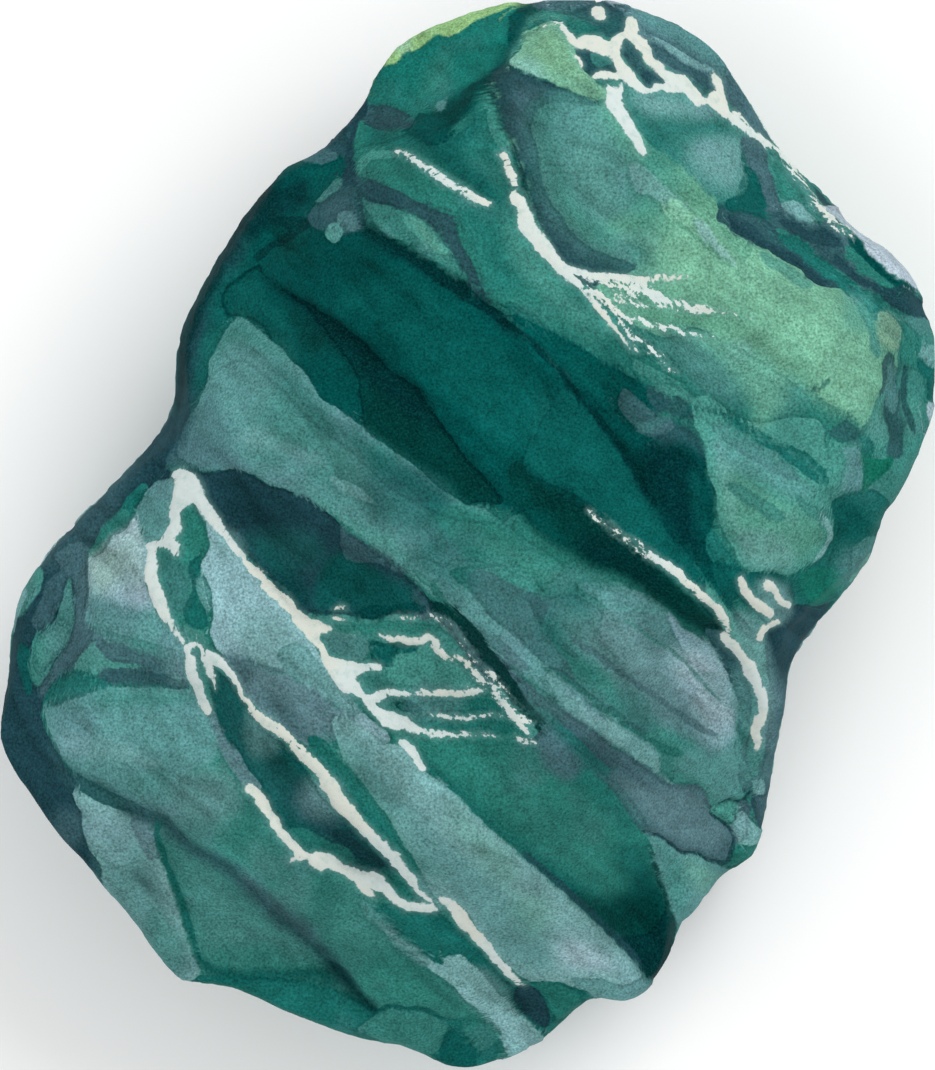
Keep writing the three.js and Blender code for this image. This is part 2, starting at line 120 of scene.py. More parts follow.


# Each wash is its colour, its edge's softness in millimetres, how dark that edge dries and how strong the
# wash is, then the points of its outline.
# a painted highlight along the edge of the rim, also lightening the shade that the steep rim gets
# painted light: a paler wash that offsets the shade this sloping face gets
# painted light: a paler wash that offsets the shade this sloping face gets
# painted shadow along the far side of the first vein dash at the upper left
# the dark band with the right vein in it: below the vein's crest it is painted shadow
# the navy wedge: painted shadow in the notch below the slate-green face
# the scooped face of the right shoulder: its dark left edge is painted shade on the steep inner wall, and
# the paler green to the right is partly the stone's own colour and partly painted light where the face turns
# up
WASHES = read_marks("""
# the far left lobe
reed 0.6 0.2 1  37,86 39,91 42,95 47,98 52,99.6 58,101 66,101 56,96 53,93 50,89 44,87
moss 2.2 0 0.4  45,90.8 46,94 48,95 48,91.5
lime 0.5 0 1  39,91.3 40,94 43,97 47,99.5 52,101 59,101 58,99.6 56,99.3 53.5,98.6 52,98 50,97.1 48.2,96.5
  47.1,96.7 46,96.2 45,95.4 43.7,94.9 42.6,94.1 41.2,93.3 40.4,92.2
fir 1.2 0 0.9  57.5,99.6 55.5,99 54.6,97.6 54.4,96 53.3,94.4 51.6,92.4 49.6,91.6 48,90.8 47.4,89.6 45.6,89.3
  47,88.2 50,88.9 51.5,90.5 53.4,91.5 54.2,93.5 55.2,95 56,96.6 56.6,97.8 58.4,98.8 61,98.9 62.2,99
# the left shoulder
fir 0.8 0.1 1  18,64 18.8,69 22,75 26,81 29,84 32.5,86 36,88.5 38,88 38,84 38,80 41,77.8 45,76 50,73 53,70.5
  56,68.5 60,65 64,61 68,56 72,50 68,49 60,53 52,51 44,53 34,60 26,66 20,62
deep 3 0 0.9  21,69 23,73 25.5,77 27.5,77.5 28,74 31,71.5 30,69 26,70.5 23,68
deep 3 0 0.7  36,72 42,75 47,73 52,69 56,66 60,62 60,58 54,58 49,62 44,66 39,70
teal 2.5 0 0.45  58,62.4 62,60 65,57 62,56 58,58
navy 2 0 0.85  17,57 18,60 18.6,63 18.8,67 20,70.4 21.4,73.4 23,76.4 25.4,80 27.6,83 29,82 27,78.6 25,75
  23,71.4 21.8,68 21.2,64.6 21,61.6 21,59.6 20,58 18,56
deep 1.1 0 0.4  30.4,81.6 32,83.4 33.6,84.3 35.6,84.4 36.8,84 36.9,82.6 35,82 33,81
night 1.4 0 0.85  25.6,78.6 27.2,81.6 28.4,82.4 30,82.4 31.6,83 33.2,82.8 33,81 31,80 28.6,78.6 27,77.6
teal 1.4 0 0.5  20.4,62 20.6,65 21.4,67.6 23,69.4 24.2,69 23.4,66.6 22.4,64 21.6,61.6
night 0.7 0 0.7  28.6,79 30.4,79.7 32.4,79.6 33.4,78.8 32.2,77.8 31,77.2 29.6,76.6 28.6,75.8 27.8,75.4
  27.4,76 28.6,77 30.4,77.9 30.8,78.6
steel 0.7 0 0.7  32.4,84.6 34.4,85.9 36,87 36.4,86 36.2,85.2 35,84.6 33.6,84.4
fir 1.2 0 0.7  54,72 57,70.4 60,68.6 63,66.8 66,64.6 69,62 67.6,61.4 64.6,63.6 61,66 57,68.8 54,70.4
# the dark lobe
fir 0.5 0.5 0.8  27.8,75.2 28.4,74.3 29.6,73.5 30.8,72.9 32,72.1 33.4,71.5 34.6,70.7 36,70.1 38,68.7 40,67
  42,65.2 44,63.8 46,61.7 48,59.3 50,57 51.7,55.6 53.2,53.9 53.9,53 53.2,52.6 51.8,53 50,52.9 48,53.9
  46.2,55.2 44.4,56.4 42.8,57.5 41,58.5 39,59.8 36.6,61.3 34.6,62.7 33.2,64.2 31.6,65.8 29.6,67.8 27,70
  24,70.6 24,73
deep 3 0 0.85  22,74 27,74 29,72.4 31.4,71 32.4,69 32.4,66.6 30,67.4 26.4,70.4 23,70
pine 2 0 0.7  31,71 35,69.4 39,66.4 43,62 43,60 38,62.8 35,65.4 32.4,68
pine 0.6 0.5 0.9  28.2,74.4 29.6,73.5 30.8,72.9 32,72.1 33.4,71.5 34.6,70.7 36,70.1 38,68.7 40,67 42,65.2
  44,63.8 46,61.7 48,59.3 50,57 51.7,55.6 53.2,53.9 53.9,53 53.2,52.6 51.8,53 50,52.9 48,53.9 46.2,55.2
  44.4,56.4 42.8,57.5 41,58.5 39,59.8 38.6,62.2 38.4,64.4 37,66.6 35,68.8 32.6,71 30,72.9
night 1.4 0 0.8  28.4,74 30.8,72.9 33.4,71.4 36,70 38.4,68.3 41,66 43.6,64 45.4,62.2 47,60 45,60.4 42,62.4
  39,65 36,67.6 33,70 30.4,71.8
fir 1.8 0 0.7  33,64.8 34,67 36,66.8 38,64.6 39,63.2 38,62.2 36,63.2
# the slate-green face left of the middle
mist 0.9 0.12 1  20,60.4 21,61.8 22,63.8 22.6,66.2 23.6,67.8 24.8,69.6 26.2,70 28,68.8 29.6,67.8 31.6,65.8
  33.2,64.2 34.6,62.7 36.6,61.3 39,59.8 41,58.5 42.8,57.5 44.4,56.4 46.2,55.2 48,53.9 50,52.9 52,52.4 54,51
  56,49.6 58,48.4 60,47 58,45.6 54,45.8 50,43.5 46,44.6 42,47.6 38.5,50 36,51.6 33,53.2 30,54.4 26,56
  22.5,56.2 19,57.5
jade 2 0 0.55  24.4,69.4 26.2,70 28,68.8 30,67.6 31,66.4 28.4,66.8 26,67.6 24.2,67.4 22.6,65.4
sea 3 0 0.6  30,64 33,62 36,60.5 40,58.5 44,56 48,53.5 46,50 42,50.5 37,53 31,56 27,58
deep 1.6 0 0.5  42.6,55 44,56.2 46,55.6 48,53.6 47,52.6 44.6,53.6
teal 3 0 0.6  38,60 42,57.4 47,54.5 53,51.5 57,48.5 60,46.5 56,46 51,48 45,50 40,54
steel 2.4 0 0.5  19,59 21,62.4 22.6,63.4 24.4,60.4 25.4,58 23,57.2 19.4,57.4
slate 2.4 0 0.4  39,57 43,55.6 48,52.6 50,50 47,47.6 43,49.6 39,52
haze 1.2 0 0.4  25.8,59.2 28,60 30,58.8 32.6,58 35,56.6 33.4,56.4 30,57.4 27,58
haze 0.8 0 0.4  35.4,55.6 37.4,55 39.4,53.8 40,53 38.4,53.2 36.4,54.2
slate 1.2 0 0.4  42,55.5 46,55.8 49,52.8 47,52 44,53.2
moss 1.1 0 0.6  33.4,53.6 35,53 37,51.8 39,51 41,50.2 42.6,49.2 44.4,47.6 46.4,45.8 48,44.8 46.4,44.6
  44,46.2 42,48 40,49.2 38,50.3 36.4,51.5 34.6,52.5
teal 1.4 0 0.6  45.5,53 47.5,52.7 50,51 52.5,48.5 50.5,47 48.5,49 46.5,51
steel 1.6 0 0.65  18,58.4 20.4,59.2 23,58.2 25.4,57.4 27,56.4 26.4,56 23,55.8 19.5,56.2 17.5,57
navy 1.8 0 0.85  16.6,58 18.6,62 19.4,64 20.8,63 20.6,61 20,59.6 19,58.2 17.4,57
# the navy wedge
navy 0.7 0.25 1  16.4,57.2 18.4,56 20.6,56.2 22.5,56 25.4,56.3 27,55.7 29,54.7 31,54 33.4,53 35.4,51.8
  37,50.5 39,49.3 41,48 42.6,46.8 44.4,45.4 46.2,43.9 47.8,42 49.4,40 51.4,37.6 53.2,35.2 55.4,33.2 55,32.4
  53.4,33.8 51.5,36.2 49.8,38.6 48,40.4 46.4,41.8 44,42.5 41,42 38,42.5 35,42.7 32.6,42.2 31,43.4 28.6,46.4
  26,48.8 24,51 22,53.4 20,55 17,55
night 2 0 0.35  23,55 25.5,55.7 28.5,54.2 31,53 33,52 32,50.8 28,50.4 25,51.4 23.6,53
fir 1.6 0 0.6  28,49 31,47.4 33,45.4 33.4,43.2 31,43.6 29,46
teal 2 0 0.4  26.4,49.6 30,50.4 34,50 35,47.6 32,46.4 29,47
deep 1.2 0 0.85  34,46.4 36.5,48.4 38.4,47.4 41,46.4 43.4,45.4 45,43.6 42,42.6 38,43 34,43.4
steel 0.7 0 0.55  36.3,50.8 38,50 40,49.1 41.6,48.2 43,47.2 44.2,46.2 43,46.2 41.6,46.6 40,47.4 38,47.4
  37,48.2 36.5,49.4
steel 1 0 0.3  44,45.2 46,43.6 47.4,41.6 46,41.8 44.4,43.4
fir 0.8 0 0.7  38,43.2 41,43.3 44,43.6 45.8,43.4 44,42.6 40.6,42.2 38.4,42.5
# the pale faces round the left veins
navy 0.9 0 1  19,60 17,61 14.6,58.8 11.6,56 7.6,52.4 4,49 1.4,45.4 -1,41 -2,37 -3,33 -2,28 2,23 6,18.4 10,15
  12,19 10,21 9,23 8.4,26 7.4,28.4 5.6,31 4.6,34 8,37.5 10,41 10.4,47 13,50.6 16,53.4 17,55
steel 1.6 0 0.45  4,47.4 7,50.4 10,53 13,56 15,56.6 13.4,54 11,50.6 9.8,48.6 7,47
teal 0.5 0 1  14.4,54.4 15.2,54.9 15.9,54.5 15.7,53.6 14.8,52.4 14.2,51.6 13,50.4 11.8,49.2 10.8,48.2
  9.7,47.8 10,49 11.2,50.5 12.2,51.8 13.2,53
sea 0.8 0 0.5  9.8,48.2 10.4,49.6 11.4,51.2 12.6,52.4 14,52.2 13,50.8 11.4,49.2
frost 0.4 0.25 1  9.7,47.7 10.6,47.9 11.6,48.8 12.8,49.9 14,51 14.9,52 15.2,50.6 15.6,49.4 16.2,48.8 16,47.4
  15.7,46 16.2,44.2 17,42.5 18.3,41.2 19.7,40 19.8,38 17.5,38.6 14.5,39.6 12,40.1 10.4,40.8 9.4,41.4
  9.2,42.6 9.6,44 9.6,46
leaf 1.8 0 0.45  9.8,47.6 11.6,48.6 13,48 12.6,45.4 11,44.4 9.6,44.6
mist 1.2 0 1  9.2,44 10.6,44.1 12.2,44.1 13.4,43.5 15,43 17,42.8 19.8,40.2 19.8,38 14,39.4 9.4,41
sea 0.5 0 0.6  9.2,42.2 10.6,41.6 12.6,41 15,40.4 17.4,39.6 19.8,38.8 19.6,38 17.4,38.6 14.5,39.6 12,40.1
  10.4,40.8
pearl 1.4 0 0.6  10,47.6 12.6,49.6 14.8,51.6 15.6,49 15.6,46 16.2,44 14,43.8 11,44.8 9.8,45.6
leaf 1.6 0 0.3  10.4,47.4 12.4,49 14.8,50.4 15.4,48 15,45.6 12.6,44.6 10.4,45
mist 0.4 0.3 1  14.7,52.2 15.4,53.4 16,54.3 17,55 18,55.2 18.9,54.8 18.9,52.6 18.5,50.8 17.6,49.7 16.4,49.2
  15.7,49.4 15.2,50.4 14.8,51.4
deep 0.5 0 0.75  20.4,47.4 21.2,48 21.7,47.4 21.4,46 20.9,45.2 21.4,44 22.4,42.8 22.2,41.3 20.4,41.5
  19.7,42.6 19.8,43.8 20.6,44.6
steel 1.4 0 0.4  17.4,47.8 19.2,47.6 20.4,46 19.8,43.6 19,42.4 18,43.6 17.3,45.6
mist 0.3 0 0.85  20.9,45.5 21.4,46.2 22,46 22.8,44.4 22.9,43.4 22.3,43 21.4,44.2
frost 0.5 0.2 1  20.6,53.2 22,52.6 24,50.2 27,47 30,44 32,41.6 34,39.4 35.4,37 37,35.2 39,33.4 41.6,31.4
  41,30.6 38,32.6 35.6,34.4 33.4,35.6 31.8,36.8 29.4,37.8 27,38.4 24.6,38.9 23.2,39.3 22.8,40.6 23,42.4
  22.9,44.2 22.2,46 21.8,47.6 22.6,49 22.5,50.4 21.8,51.6
haze 2 0 0.7  26,42 30,42.6 33,40 35.4,37 37.4,35 36,34.2 31.6,36.8 27,38.4
mist 1 0 0.6  30,39 32.4,39.8 34.6,37.6 36.6,35.4 38.6,33.8 37,33.4 33.6,35.6 31,37.2
# the left edge's small faces
moss 0.6 0 0.8  2,43.4 2.6,45.2 3.8,46.8 4.8,46.8 4.6,45.2 3.6,43.8 2.8,42.4
haze 0.4 0 0.8  1,40.6 2,43.4 2.9,44.8 3.3,44.3 2.8,43 2.2,41.8 1.6,40.6
deep 0.6 0 0.8  2,39.6 3,39.6 3.2,38 3.4,36.2 3.2,35 2.4,36 2,37.8
steel 0.9 0 0.5  3.4,41.6 4.4,44 5.8,46.2 7.4,47 7.2,44.8 6.4,43.2 5.6,42 4.2,41
steel 0.5 0 0.85  6,47.8 8,49.2 9.6,48.4 9.7,46 9.6,43.6 9.3,41.6 10.4,40.8 12,40 14,39.7 15.6,39.1
  17.6,38.3 19.6,37.9 19.9,35.8 17,35.8 14,35.9 11.2,36.2 9,37 7.4,37.2 5.8,36.6 4.8,35 4,35.2 4.8,36.6
  5.8,38 7,39.4 7.7,40.8 7.9,43 7.8,45.8
sea 0.4 0.25 1  7.4,46 7.8,45.4 7.8,43 7.8,41 7.4,39.8 6.6,39 5.6,38 4.8,36.8 4.2,35.8 3.6,36.6 3.3,38.2
  3.4,39.8 4,40.8 4.8,41.4 5.6,41.8 6.2,42.6 6.6,43.8 7,45
moss 1 0 0.5  4,39.6 5.4,40.8 7,41.4 7.2,40.2 5.8,38.8 4.4,37.6
slate 0.5 0 0.8  11,37.5 15,37.5 18,37 20,36.4 19.8,35.7 15,35.9 11.6,36.2
moss 0.4 0.1 0.8  8.2,37.3 9,38.6 9.8,39.8 10.5,39.5 11.2,38.8 12.4,38.3 15,38 15.2,37.5 12.6,37.6 10.9,37.6
  10.6,36.9 9.6,37
teal 0.6 0.05 0.95  4.8,34.4 5.8,36.3 7.4,37 9,37.3 10.6,36.9 11.4,36.3 12.2,35.8 10,35.2 8,34.4 6,33.9
# the left end's faces
mist 0.6 0.2 1  4.8,34 6,34 8,34.6 10,35.4 12,35.9 15,35.8 19.8,35.7 21.6,34.4 22.6,33 23.5,31.4 23.6,30
  22.4,28.9 21,28.6 20,27.8 19.2,26.8 19.5,25.6 19.1,24.6 18.2,23.8 16,24.6 13,25.8 10,27 8,28 6.9,29.2
  6,31.2
sea 1.2 0 0.6  5.6,33.6 9,35 12,35.8 20,35.4 21,34 15,34 10,33.8
haze 1.2 0 0.55  7,31.4 10,31.3 14,30.4 17,28.8 16.4,28.2 13,29 9,29.3 7,30
sea 2 0 0.5  15,27.6 18,28 19,26 17,25 14,26
slate 1.2 0 0.85  5.4,30.6 7,28.8 9.4,27.6 12.4,26.4 15.6,25.2 17.6,24.4 18.6,23 16.6,23.3 14,24 11.4,24.8
  8.4,26 6,28
haze 0.5 0.15 1  8,26.2 9.6,25.6 11.4,24.8 13.6,24.3 15.6,23.8 16.6,22.4 17,20.6 17.8,18.4 18.8,15.4
  19.8,12.8 20.6,10.6 21.4,9 20,7 17,9 14,13 11.6,16.6 11,18.6 10.2,20 9.4,21.6 8.8,24
mist 2 0 0.7  10.4,20.6 13,22.4 15,21.6 16.4,18 18,14.6 20,10 18,9 14.6,13 11.6,17
frost 1.6 0 0.35  9.8,24.4 12.6,23.4 14.4,21.6 13.6,19 11.4,19.4 10.2,21.6
pewter 1 0 0.8  14,24 15.8,23.6 16.7,22.2 16.9,20 16,19.6 15,21.4
sea 1.6 0 0.5  16,15 19,13.6 20.6,10 18.6,8.6 16.4,11
sea 0.5 0.15 1  17.2,23.4 18.4,22.8 20.4,21.2 22.4,20 24.4,18.8 26.2,17.2 28,15.4 30,13.6 32,12.2 34,10.6
  36.4,8.6 38,7 36,7.6 32,8.4 28,8.6 24,8.6 21.8,8.8 21.2,11 20.2,14 19,17 17.9,20
mist 3 0 0.4  19.6,20.4 24,18 28,14.4 33,10.4 26,9.8 22.4,11 20.4,16
sea 0.6 0.05 1  18.2,23.8 19.3,24.8 19.6,25.7 19.3,26.8 20.2,27.9 21.6,28.6 22.8,29 23.8,30.2 25.2,28.8
  27,27 28,25 29.4,23 31,21.4 33,20 35,19 37,18.4 39,17 41,14.8 43.4,12.6 46,10.6 48,9.6 52,6 55,3 56,1.6
  50,3 46,4.6 41,5.4 38.5,6.8 36,9.2 33,12 30,14.4 27,17 24,19.4 21,21 19,22.8
moss 2 0 0.5  19.6,24.4 20.6,27.4 22.6,28.6 24.4,28.6 25.6,26 23.6,23.6 21,23
jade 3 0 0.6  25,24 27.6,25 29.4,22.4 32,20.2 36,17.6 34,15 29,18 25,21
jade 2 0 0.7  22,10.6 26,12 30,11 34,9.6 36,8.6 30,8.2 23,8.4
jade 2.4 0 0.7  37,10 42,11.4 46,9.4 50,6.4 53,4 46,4.8 41,5.8 37.5,8
# the far left of the near edge
teal 0.7 0.1 1  20,8.2 24,8.7 28,8.6 32,8.4 36,7.6 38,6.6 40,5.6 43,5.6 45.6,5.2 48,4.8 50.6,4.8 52.6,4.6
  53.6,3.8 53.6,2.4 52,0 48,-2 42,0 32,3 24,6
sea 1 0.15 0.8  41,5.4 43,5.8 45.6,5.2 47.4,4.4 47.6,3.4 47,2 45,1.4 42,2.4 40,3.2 38,4
deep 0.9 0 0.85  47,1.6 47.6,3.4 49,3.4 50.6,2.2 51,0.6 49,-1 46.6,0.6
jade 1 0.1 0.8  49.4,4.8 51.8,5.1 53.4,4 53.2,2.6 51.4,1.6 50,3
# the lens between the lower veins
deep 0.6 0.15 1  22.4,38 23.5,37.2 24.6,36.4 25.6,35 26.8,33.6 28.4,32 30.4,30.6 32.4,28.8 34,26.6 36,24.4
  38.4,22.6 40.6,21 42.4,19.4 44,17.6 45.2,16.2 43.6,15.6 42,16.4 40.6,18 38.4,18.6 36,19.6 34,20.3 32.4,21
  30.6,22.6 29.4,24.4 28.2,26.2 27,27.2 25.6,29 24,31 23.2,33 22.6,35
navy 1.6 0 0.8  32,27 35,25 38,22.4 41,20 42,18.8 40.6,18.2 37,20 34.4,22 31.6,24.4
slate 2.4 0 0.35  24,36 27,33 30,30 33,27.6 34,26 32,23.4 30,24.4 27,28 24,32
night 1 0 0.3  35.6,22.4 38,22.4 41,19.6 41.4,18.4 39.6,18.8 37,20.8
jade 1 0 0.6  40.8,18.8 42.6,18.6 44.6,16.8 44.4,16 42.6,16.4 41,17.8
jade 1 0 0.6  31,22.8 33,22.6 35,21.6 37,20.8 38,19.4 35,20 32.6,21
pewter 0.7 0.1 0.9  22.2,33.6 23,33.4 23.8,31.6 25.4,29.6 27,27.8 28,26.6 27,26.4 25,28 23.8,30 22.8,32
# the slate wedge and band beyond the long vein
pewter 0.6 0.1 1  23.6,38.9 25.6,38.6 28,38 30.4,37.2 32,36.4 34,35.4 36,34 37.2,33 36,31 34.6,30.4 33,30.4
  31.4,31.2 29,32.8 27.4,34 25.4,35.6 24.4,37.4
slate 1.6 0 0.5  28,35 30.6,34.6 32.4,32.4 33,31 30.8,31.6 28.6,33.4
teal 1 0.05 1  33,31 34.6,31.2 36,29.6 38,27.6 40,25.4 42,23 44,20.2 45.6,18 46.2,16.6 45,16.6 43,19
  40.6,21.4 38,23.6 36,25.8 34.4,28.4
# the pale band right of it
haze 0.8 0.1 1  35.6,32.6 37.4,33.2 39,32 41.4,30.9 43.4,30 45,28.6 47,27.2 50,25 52,23.2 54,21.6 56,20.1
  58,18.7 60,17.1 62,15.5 64,13.9 66,12.1 67.8,10.3 69,9.2 71,8.6 72,7 68,6 64,6 62,7.6 59,8.4 56.6,8.4
  54,10.4 51.4,12.8 49.6,15 48,16.4 46.4,16.6 44.6,19.4 42,23 39.4,26.4 37,29
mist 2 0 0.7  38,29.4 40,26.6 43,23 46,18.6 48.4,16.6 51.4,13.4 54.6,10.4 58,9.6 59.6,11.4 57.4,14.4 54,17
  50.4,20 46,23 42,27 39,30.4
frost 2 0 0.8  59,12.4 61,13.4 64,12.4 66.6,10.4 66,9.2 62.4,9 59.4,10
pearl 1.6 0 0.35  60,12 62,12.4 64.6,11 65,9.8 62.4,9.8 60,10.6
jade 2.6 0 0.6  34.4,30.8 36.4,31 38.4,28.8 40.4,26.4 42.4,24 44.4,21.4 46.6,18 45.6,17.4 43,20.4 40,24
  37,27.4 34.6,29.4
fern 2 0 0.35  48.6,25.4 51.8,22.6 55,20.4 54.6,17.6 51.4,19.6 48.4,22.4
fern 1.6 0 0.35  55.6,16.8 58.6,16.6 59,14.6 57.6,12.8 56,13.6 55,15.2
mist 0.8 0.1 0.7  61,8.9 64,8.6 66.8,8.2 69,9 70.4,8.4 68,6.6 64,6.6 62.4,7.4
# the dark teal band
jade 0.8 0.1 1  45,28.4 45.4,29.6 44,31 43.4,32.6 47,33.6 52,34 55,33.2 57.5,32.6 59.6,31.8 61.4,30.4
  63.4,29 65.6,27.2 67.4,25.4 69,23.2 69,21.6 69.8,19.6 70.6,17.4 71.4,15 72.4,13.6 73,11 71,8.6 70,8.5
  69,9.1 67.8,10.2 66,12 64,13.8 62,15.4 60,17 58,18.6 56,20 54,21.5 52,23.1 50,24.9 47,27.1
sea 3 0 0.3  52,29 57,28 60,24 64,21 62,18 57,22 53,26
fir 2.2 0 0.85  45,28.6 47.6,27.6 50.6,25.6 53,23.6 56,21.8 58.6,20 61.4,18 64.4,16.4 67,17.6 69,19.4 71,17
  72,13 71,9 69,9 66,12 62,15.4 58,18.6 54,21.5 50,24.9 47,27.1
pine 2 0 0.85  61,16.6 64,15.8 67,16 69.6,16.4 71,14.8 72,12 71,9 69.4,8.8 66.4,11.8 63.4,14.4
night 1 0 0.8  66,12.4 69,12.6 71,15 70,19 69.4,20.6 70.6,18.8 72,14.4 72.6,12 71,9 69.6,8.7 68,10
# the near right corner
mist 0.5 0.15 1  69,22.3 70.6,21.6 72.6,20.5 74.6,20 76,19.6 78,19 80,19 76,16 74,13 72.6,13.6 71.9,14.6
  71.2,17 70.4,19
sea 1.4 0 0.6  70,21.4 72,20.2 73.6,18.6 73,15 72,14.6 71,18
leaf 1.4 0 0.3  73,19.6 75.4,19.2 76.4,18 74.8,16.4 73.6,17.6
# the slate band above the dark teal one
steel 0.9 0.1 1  50,41.4 53,38.8 56,36.6 59,34.4 62,33 65,31 68,29 70,27.8 72,27 74,26.8 75.6,26 76,24.8
  77.6,25 80,25 80,22 78.8,20.8 78,19.7 76.4,19.5 74.8,20.1 73,20.3 71.4,21.1 70,21.9 68.6,22.4 67,24.4
  65.4,26.2 63,28 61,29.4 59.4,31 57.6,32.8 55.6,34 53.6,35.6 51.6,38 49.4,40.4
pewter 2 0 0.8  66,26.8 70,26.6 74,26 76,24 77.6,22.4 76.4,20.6 73,21.4 70,22.8
teal 2.2 0 0.6  59.4,30.8 61.4,30 63.6,28 65.8,26.2 67.8,24.2 68.8,22.6 66.8,22.6 63.4,25.6 60.6,28
slate 1.2 0 0.7  48.6,41.6 51,39.6 53.4,37.4 56,35.4 59,33.8 61,32 64,30 66,28.4 64,28.2 61,30 58,32.8
  55,34.6 52.4,37 50,39.6
teal 0.8 0 0.7  56.6,34.4 58.8,33.4 60.8,31.8 63.4,29.8 65.6,28 64.4,27.6 62,29 60,30.6 58.4,32.2 56.4,33.4
steel 1.2 0 0.9  57,32.6 58.6,32.3 60,31 61.4,29.6 61.8,28 60.8,27 59.2,27.6 57.8,29 57,30.6
# the middle's slate faces
sea 0.9 0.1 1  46,45.4 49,47 52,47.6 54.4,47 56.4,45.8 58.6,44.4 60.6,44.8 62.6,44.4 64.4,45 66.4,45.4
  69,44.2 72,42.2 74.4,40.8 76,39.8 77.2,38.2 78,36.4 78.8,34.6 79,33.4 78.4,31.6 78.4,29.4 79.2,27 79.4,25
  76,24.9 75.4,26.2 74,27 72,27.2 69.6,28 67,29.8 64.4,31.6 61,33.6 58,35.4 55,37.6 52,40 50,41.4 48,43
steel 1 0 0.6  50,46.6 52,46.8 54.6,45.4 56,44.8 57.4,44 58.8,43.6 58,41.4 60,39 61.6,36.4 59.4,37 57,38.8
  54.4,41 52,43 50,44.8
slate 1 0 0.5  56,44.6 58.6,44.3 60.2,44.8 61.4,44.7 63,43.6 64.2,42.8 65,41.6 64,39.6 62,38.6 60,39.4
  58,41.2
teal 1.4 0 0.4  57,42 60,42.4 63,40.6 65,38 63.4,36.4 61,38 58.6,40
mist 0.7 0 0.75  61.6,45.4 64,45.8 66,45.6 67.6,45 69.4,44.3 71,43.2 72.6,42.1 71.4,42 70,42.5 67.2,42.7
  65,43.1 63.6,44
pewter 0.7 0.05 0.6  64.6,43 66,42.9 68.4,42.7 70.4,42.5 72,41.6 73.4,40.4 74,38 73.4,35.6 72,33.6 69.4,35.4
  66.6,37.8 64,40.4 64.2,42
lavender 0.6 0.1 0.8  71.4,42.6 73,41.6 74.6,40.8 75.8,40 76.4,39.2 77.2,38 78,36.6 78.8,35 78.8,34.1
  78.1,33.5 77,34.4 76,34.8 75.3,35.7 74.3,36.1 73.3,36.4 73.1,37.6 73.4,38.6 72.4,40
pewter 1.2 0 0.8  68,38 70,39.6 72.4,39 73.4,36 74.6,35.8 76,34.5 78.2,33.2 78.2,32 77,30.2 75.6,29.6
  73.6,31 70.4,32.6 69,35
frost 1.4 0 0.75  70.6,38.6 72.4,40.2 74.4,40.6 76,39.8 77.4,37.6 78.5,35.4 78.5,33 77.7,30.8 76.4,30
  74.8,31.2 73.6,33 72.4,35
pearl 1.6 0 0.45  72,38 74,39.6 76,38.4 77.6,36 77.8,33 76.4,31.6 74.8,33 73,35.6
frost 0.5 0.05 0.8  73.3,37.3 74.6,37.6 76.2,37.4 77.6,36.8 78.5,36.3 79,35.2 78.8,33.8 77.6,34.2 76.4,34.7
  75.6,35.6 74.6,36.2
pewter 1.4 0 0.5  63,39.4 65,41.6 68.6,41 70,38.6 68,36 65.4,37
mist 1.2 0 0.7  72.4,30.2 74,30.4 76,30 78.2,29.6 78.8,28 79.2,25.6 76.2,25.4 74.6,27 73,27.8 72,28.6
jade 0.6 0.05 0.8  58.2,38 60,37 62,35.8 64,34.5 66.4,33.1 68.6,31.9 70,30.9 71.4,30.4 73,30 72,29.5
  70.4,29.7 69.4,30.5 67.4,31.6 65,33 62.6,34.4 60.4,35.8 58.4,37.4
slate 0.5 0 0.6  59,38 61,36.8 63,35.4 65,34.2 67,33 69,31.8 69,31.4 67,32.5 65,33.7 63,34.9 61,36.3
  59.2,37.5
mist 0.5 0.1 1  43.6,47.4 45.4,47.8 47.6,46.6 49.2,45.4 51,43.8 53,42.1 55,40.7 57,39 59,37.4 61,36 63,34.4
  65,33.3 66.6,32.3 68.4,31.3 69.8,30.2 70.2,29.4 70.2,28.4 71.9,27 71,27.2 69.6,27.9 68.4,28.6 66.6,29.9
  64.6,31.1 62.4,32.3 60.6,33.6 59,34.9 57.6,36 56,37 54.2,38.2 52.4,39.6 50.6,41.3 49,43 47.6,44.4 46,45.8
steel 0.9 0 0.45  50.4,42 52.6,41 54.6,39.4 56.6,37.8 56,37.4 54,38.6 52.2,40
haze 1 0 0.5  58,37.4 60,36.4 63,34 66,32.4 69.8,29.8 70.4,28 69,28.4 66.6,30 63.6,31.8 61,33.4 59,35.4
haze 1 0 0.5  62,34.4 64.4,33.2 67,31.4 66.6,30.4 64,31.8 61.8,33.2
haze 2.4 0 0.35  60,43 64,43.4 68,41 71,37.4 72,34 70,33.4 67,35.6 64,38 61,40
steel 1.6 0 0.4  66,37 68.4,37 70.4,34 69.6,31.8 67.4,32.4 66,34.4
# the near vein's prongs
pine 0.6 0.1 0.9  46,43.8 48,43.6 49.4,42.6 50.8,41.3 52,40 53.2,38.4 54.4,37 55.8,35.4 57,33.9 58.3,32.5
  57.8,31.6 56.6,32.4 55,33 53.4,33.8 51.5,36.2 49.8,38.6 48,40.4 46.4,41.8
sea 0.5 0.3 1  32.8,42.4 33.8,42.9 35,42.6 37,42.6 39,42.3 41,42.3 43,42.5 45,42.4 46.6,42 48,41 49.4,39.4
  51,37.6 52.4,36.6 53.2,36.2 54.4,34.8 55.8,33.4 57,32.4 57.4,31.2 54,30.6 50,30.8 46,31 43.6,31.6
  41.4,33.4 39.4,35 37,36.6 35.2,38.8 33.4,41
jade 1 0 0.7  36,42 40,41.8 45,42 47,41 46.6,40 43,40.2 40,40.8 36.6,41
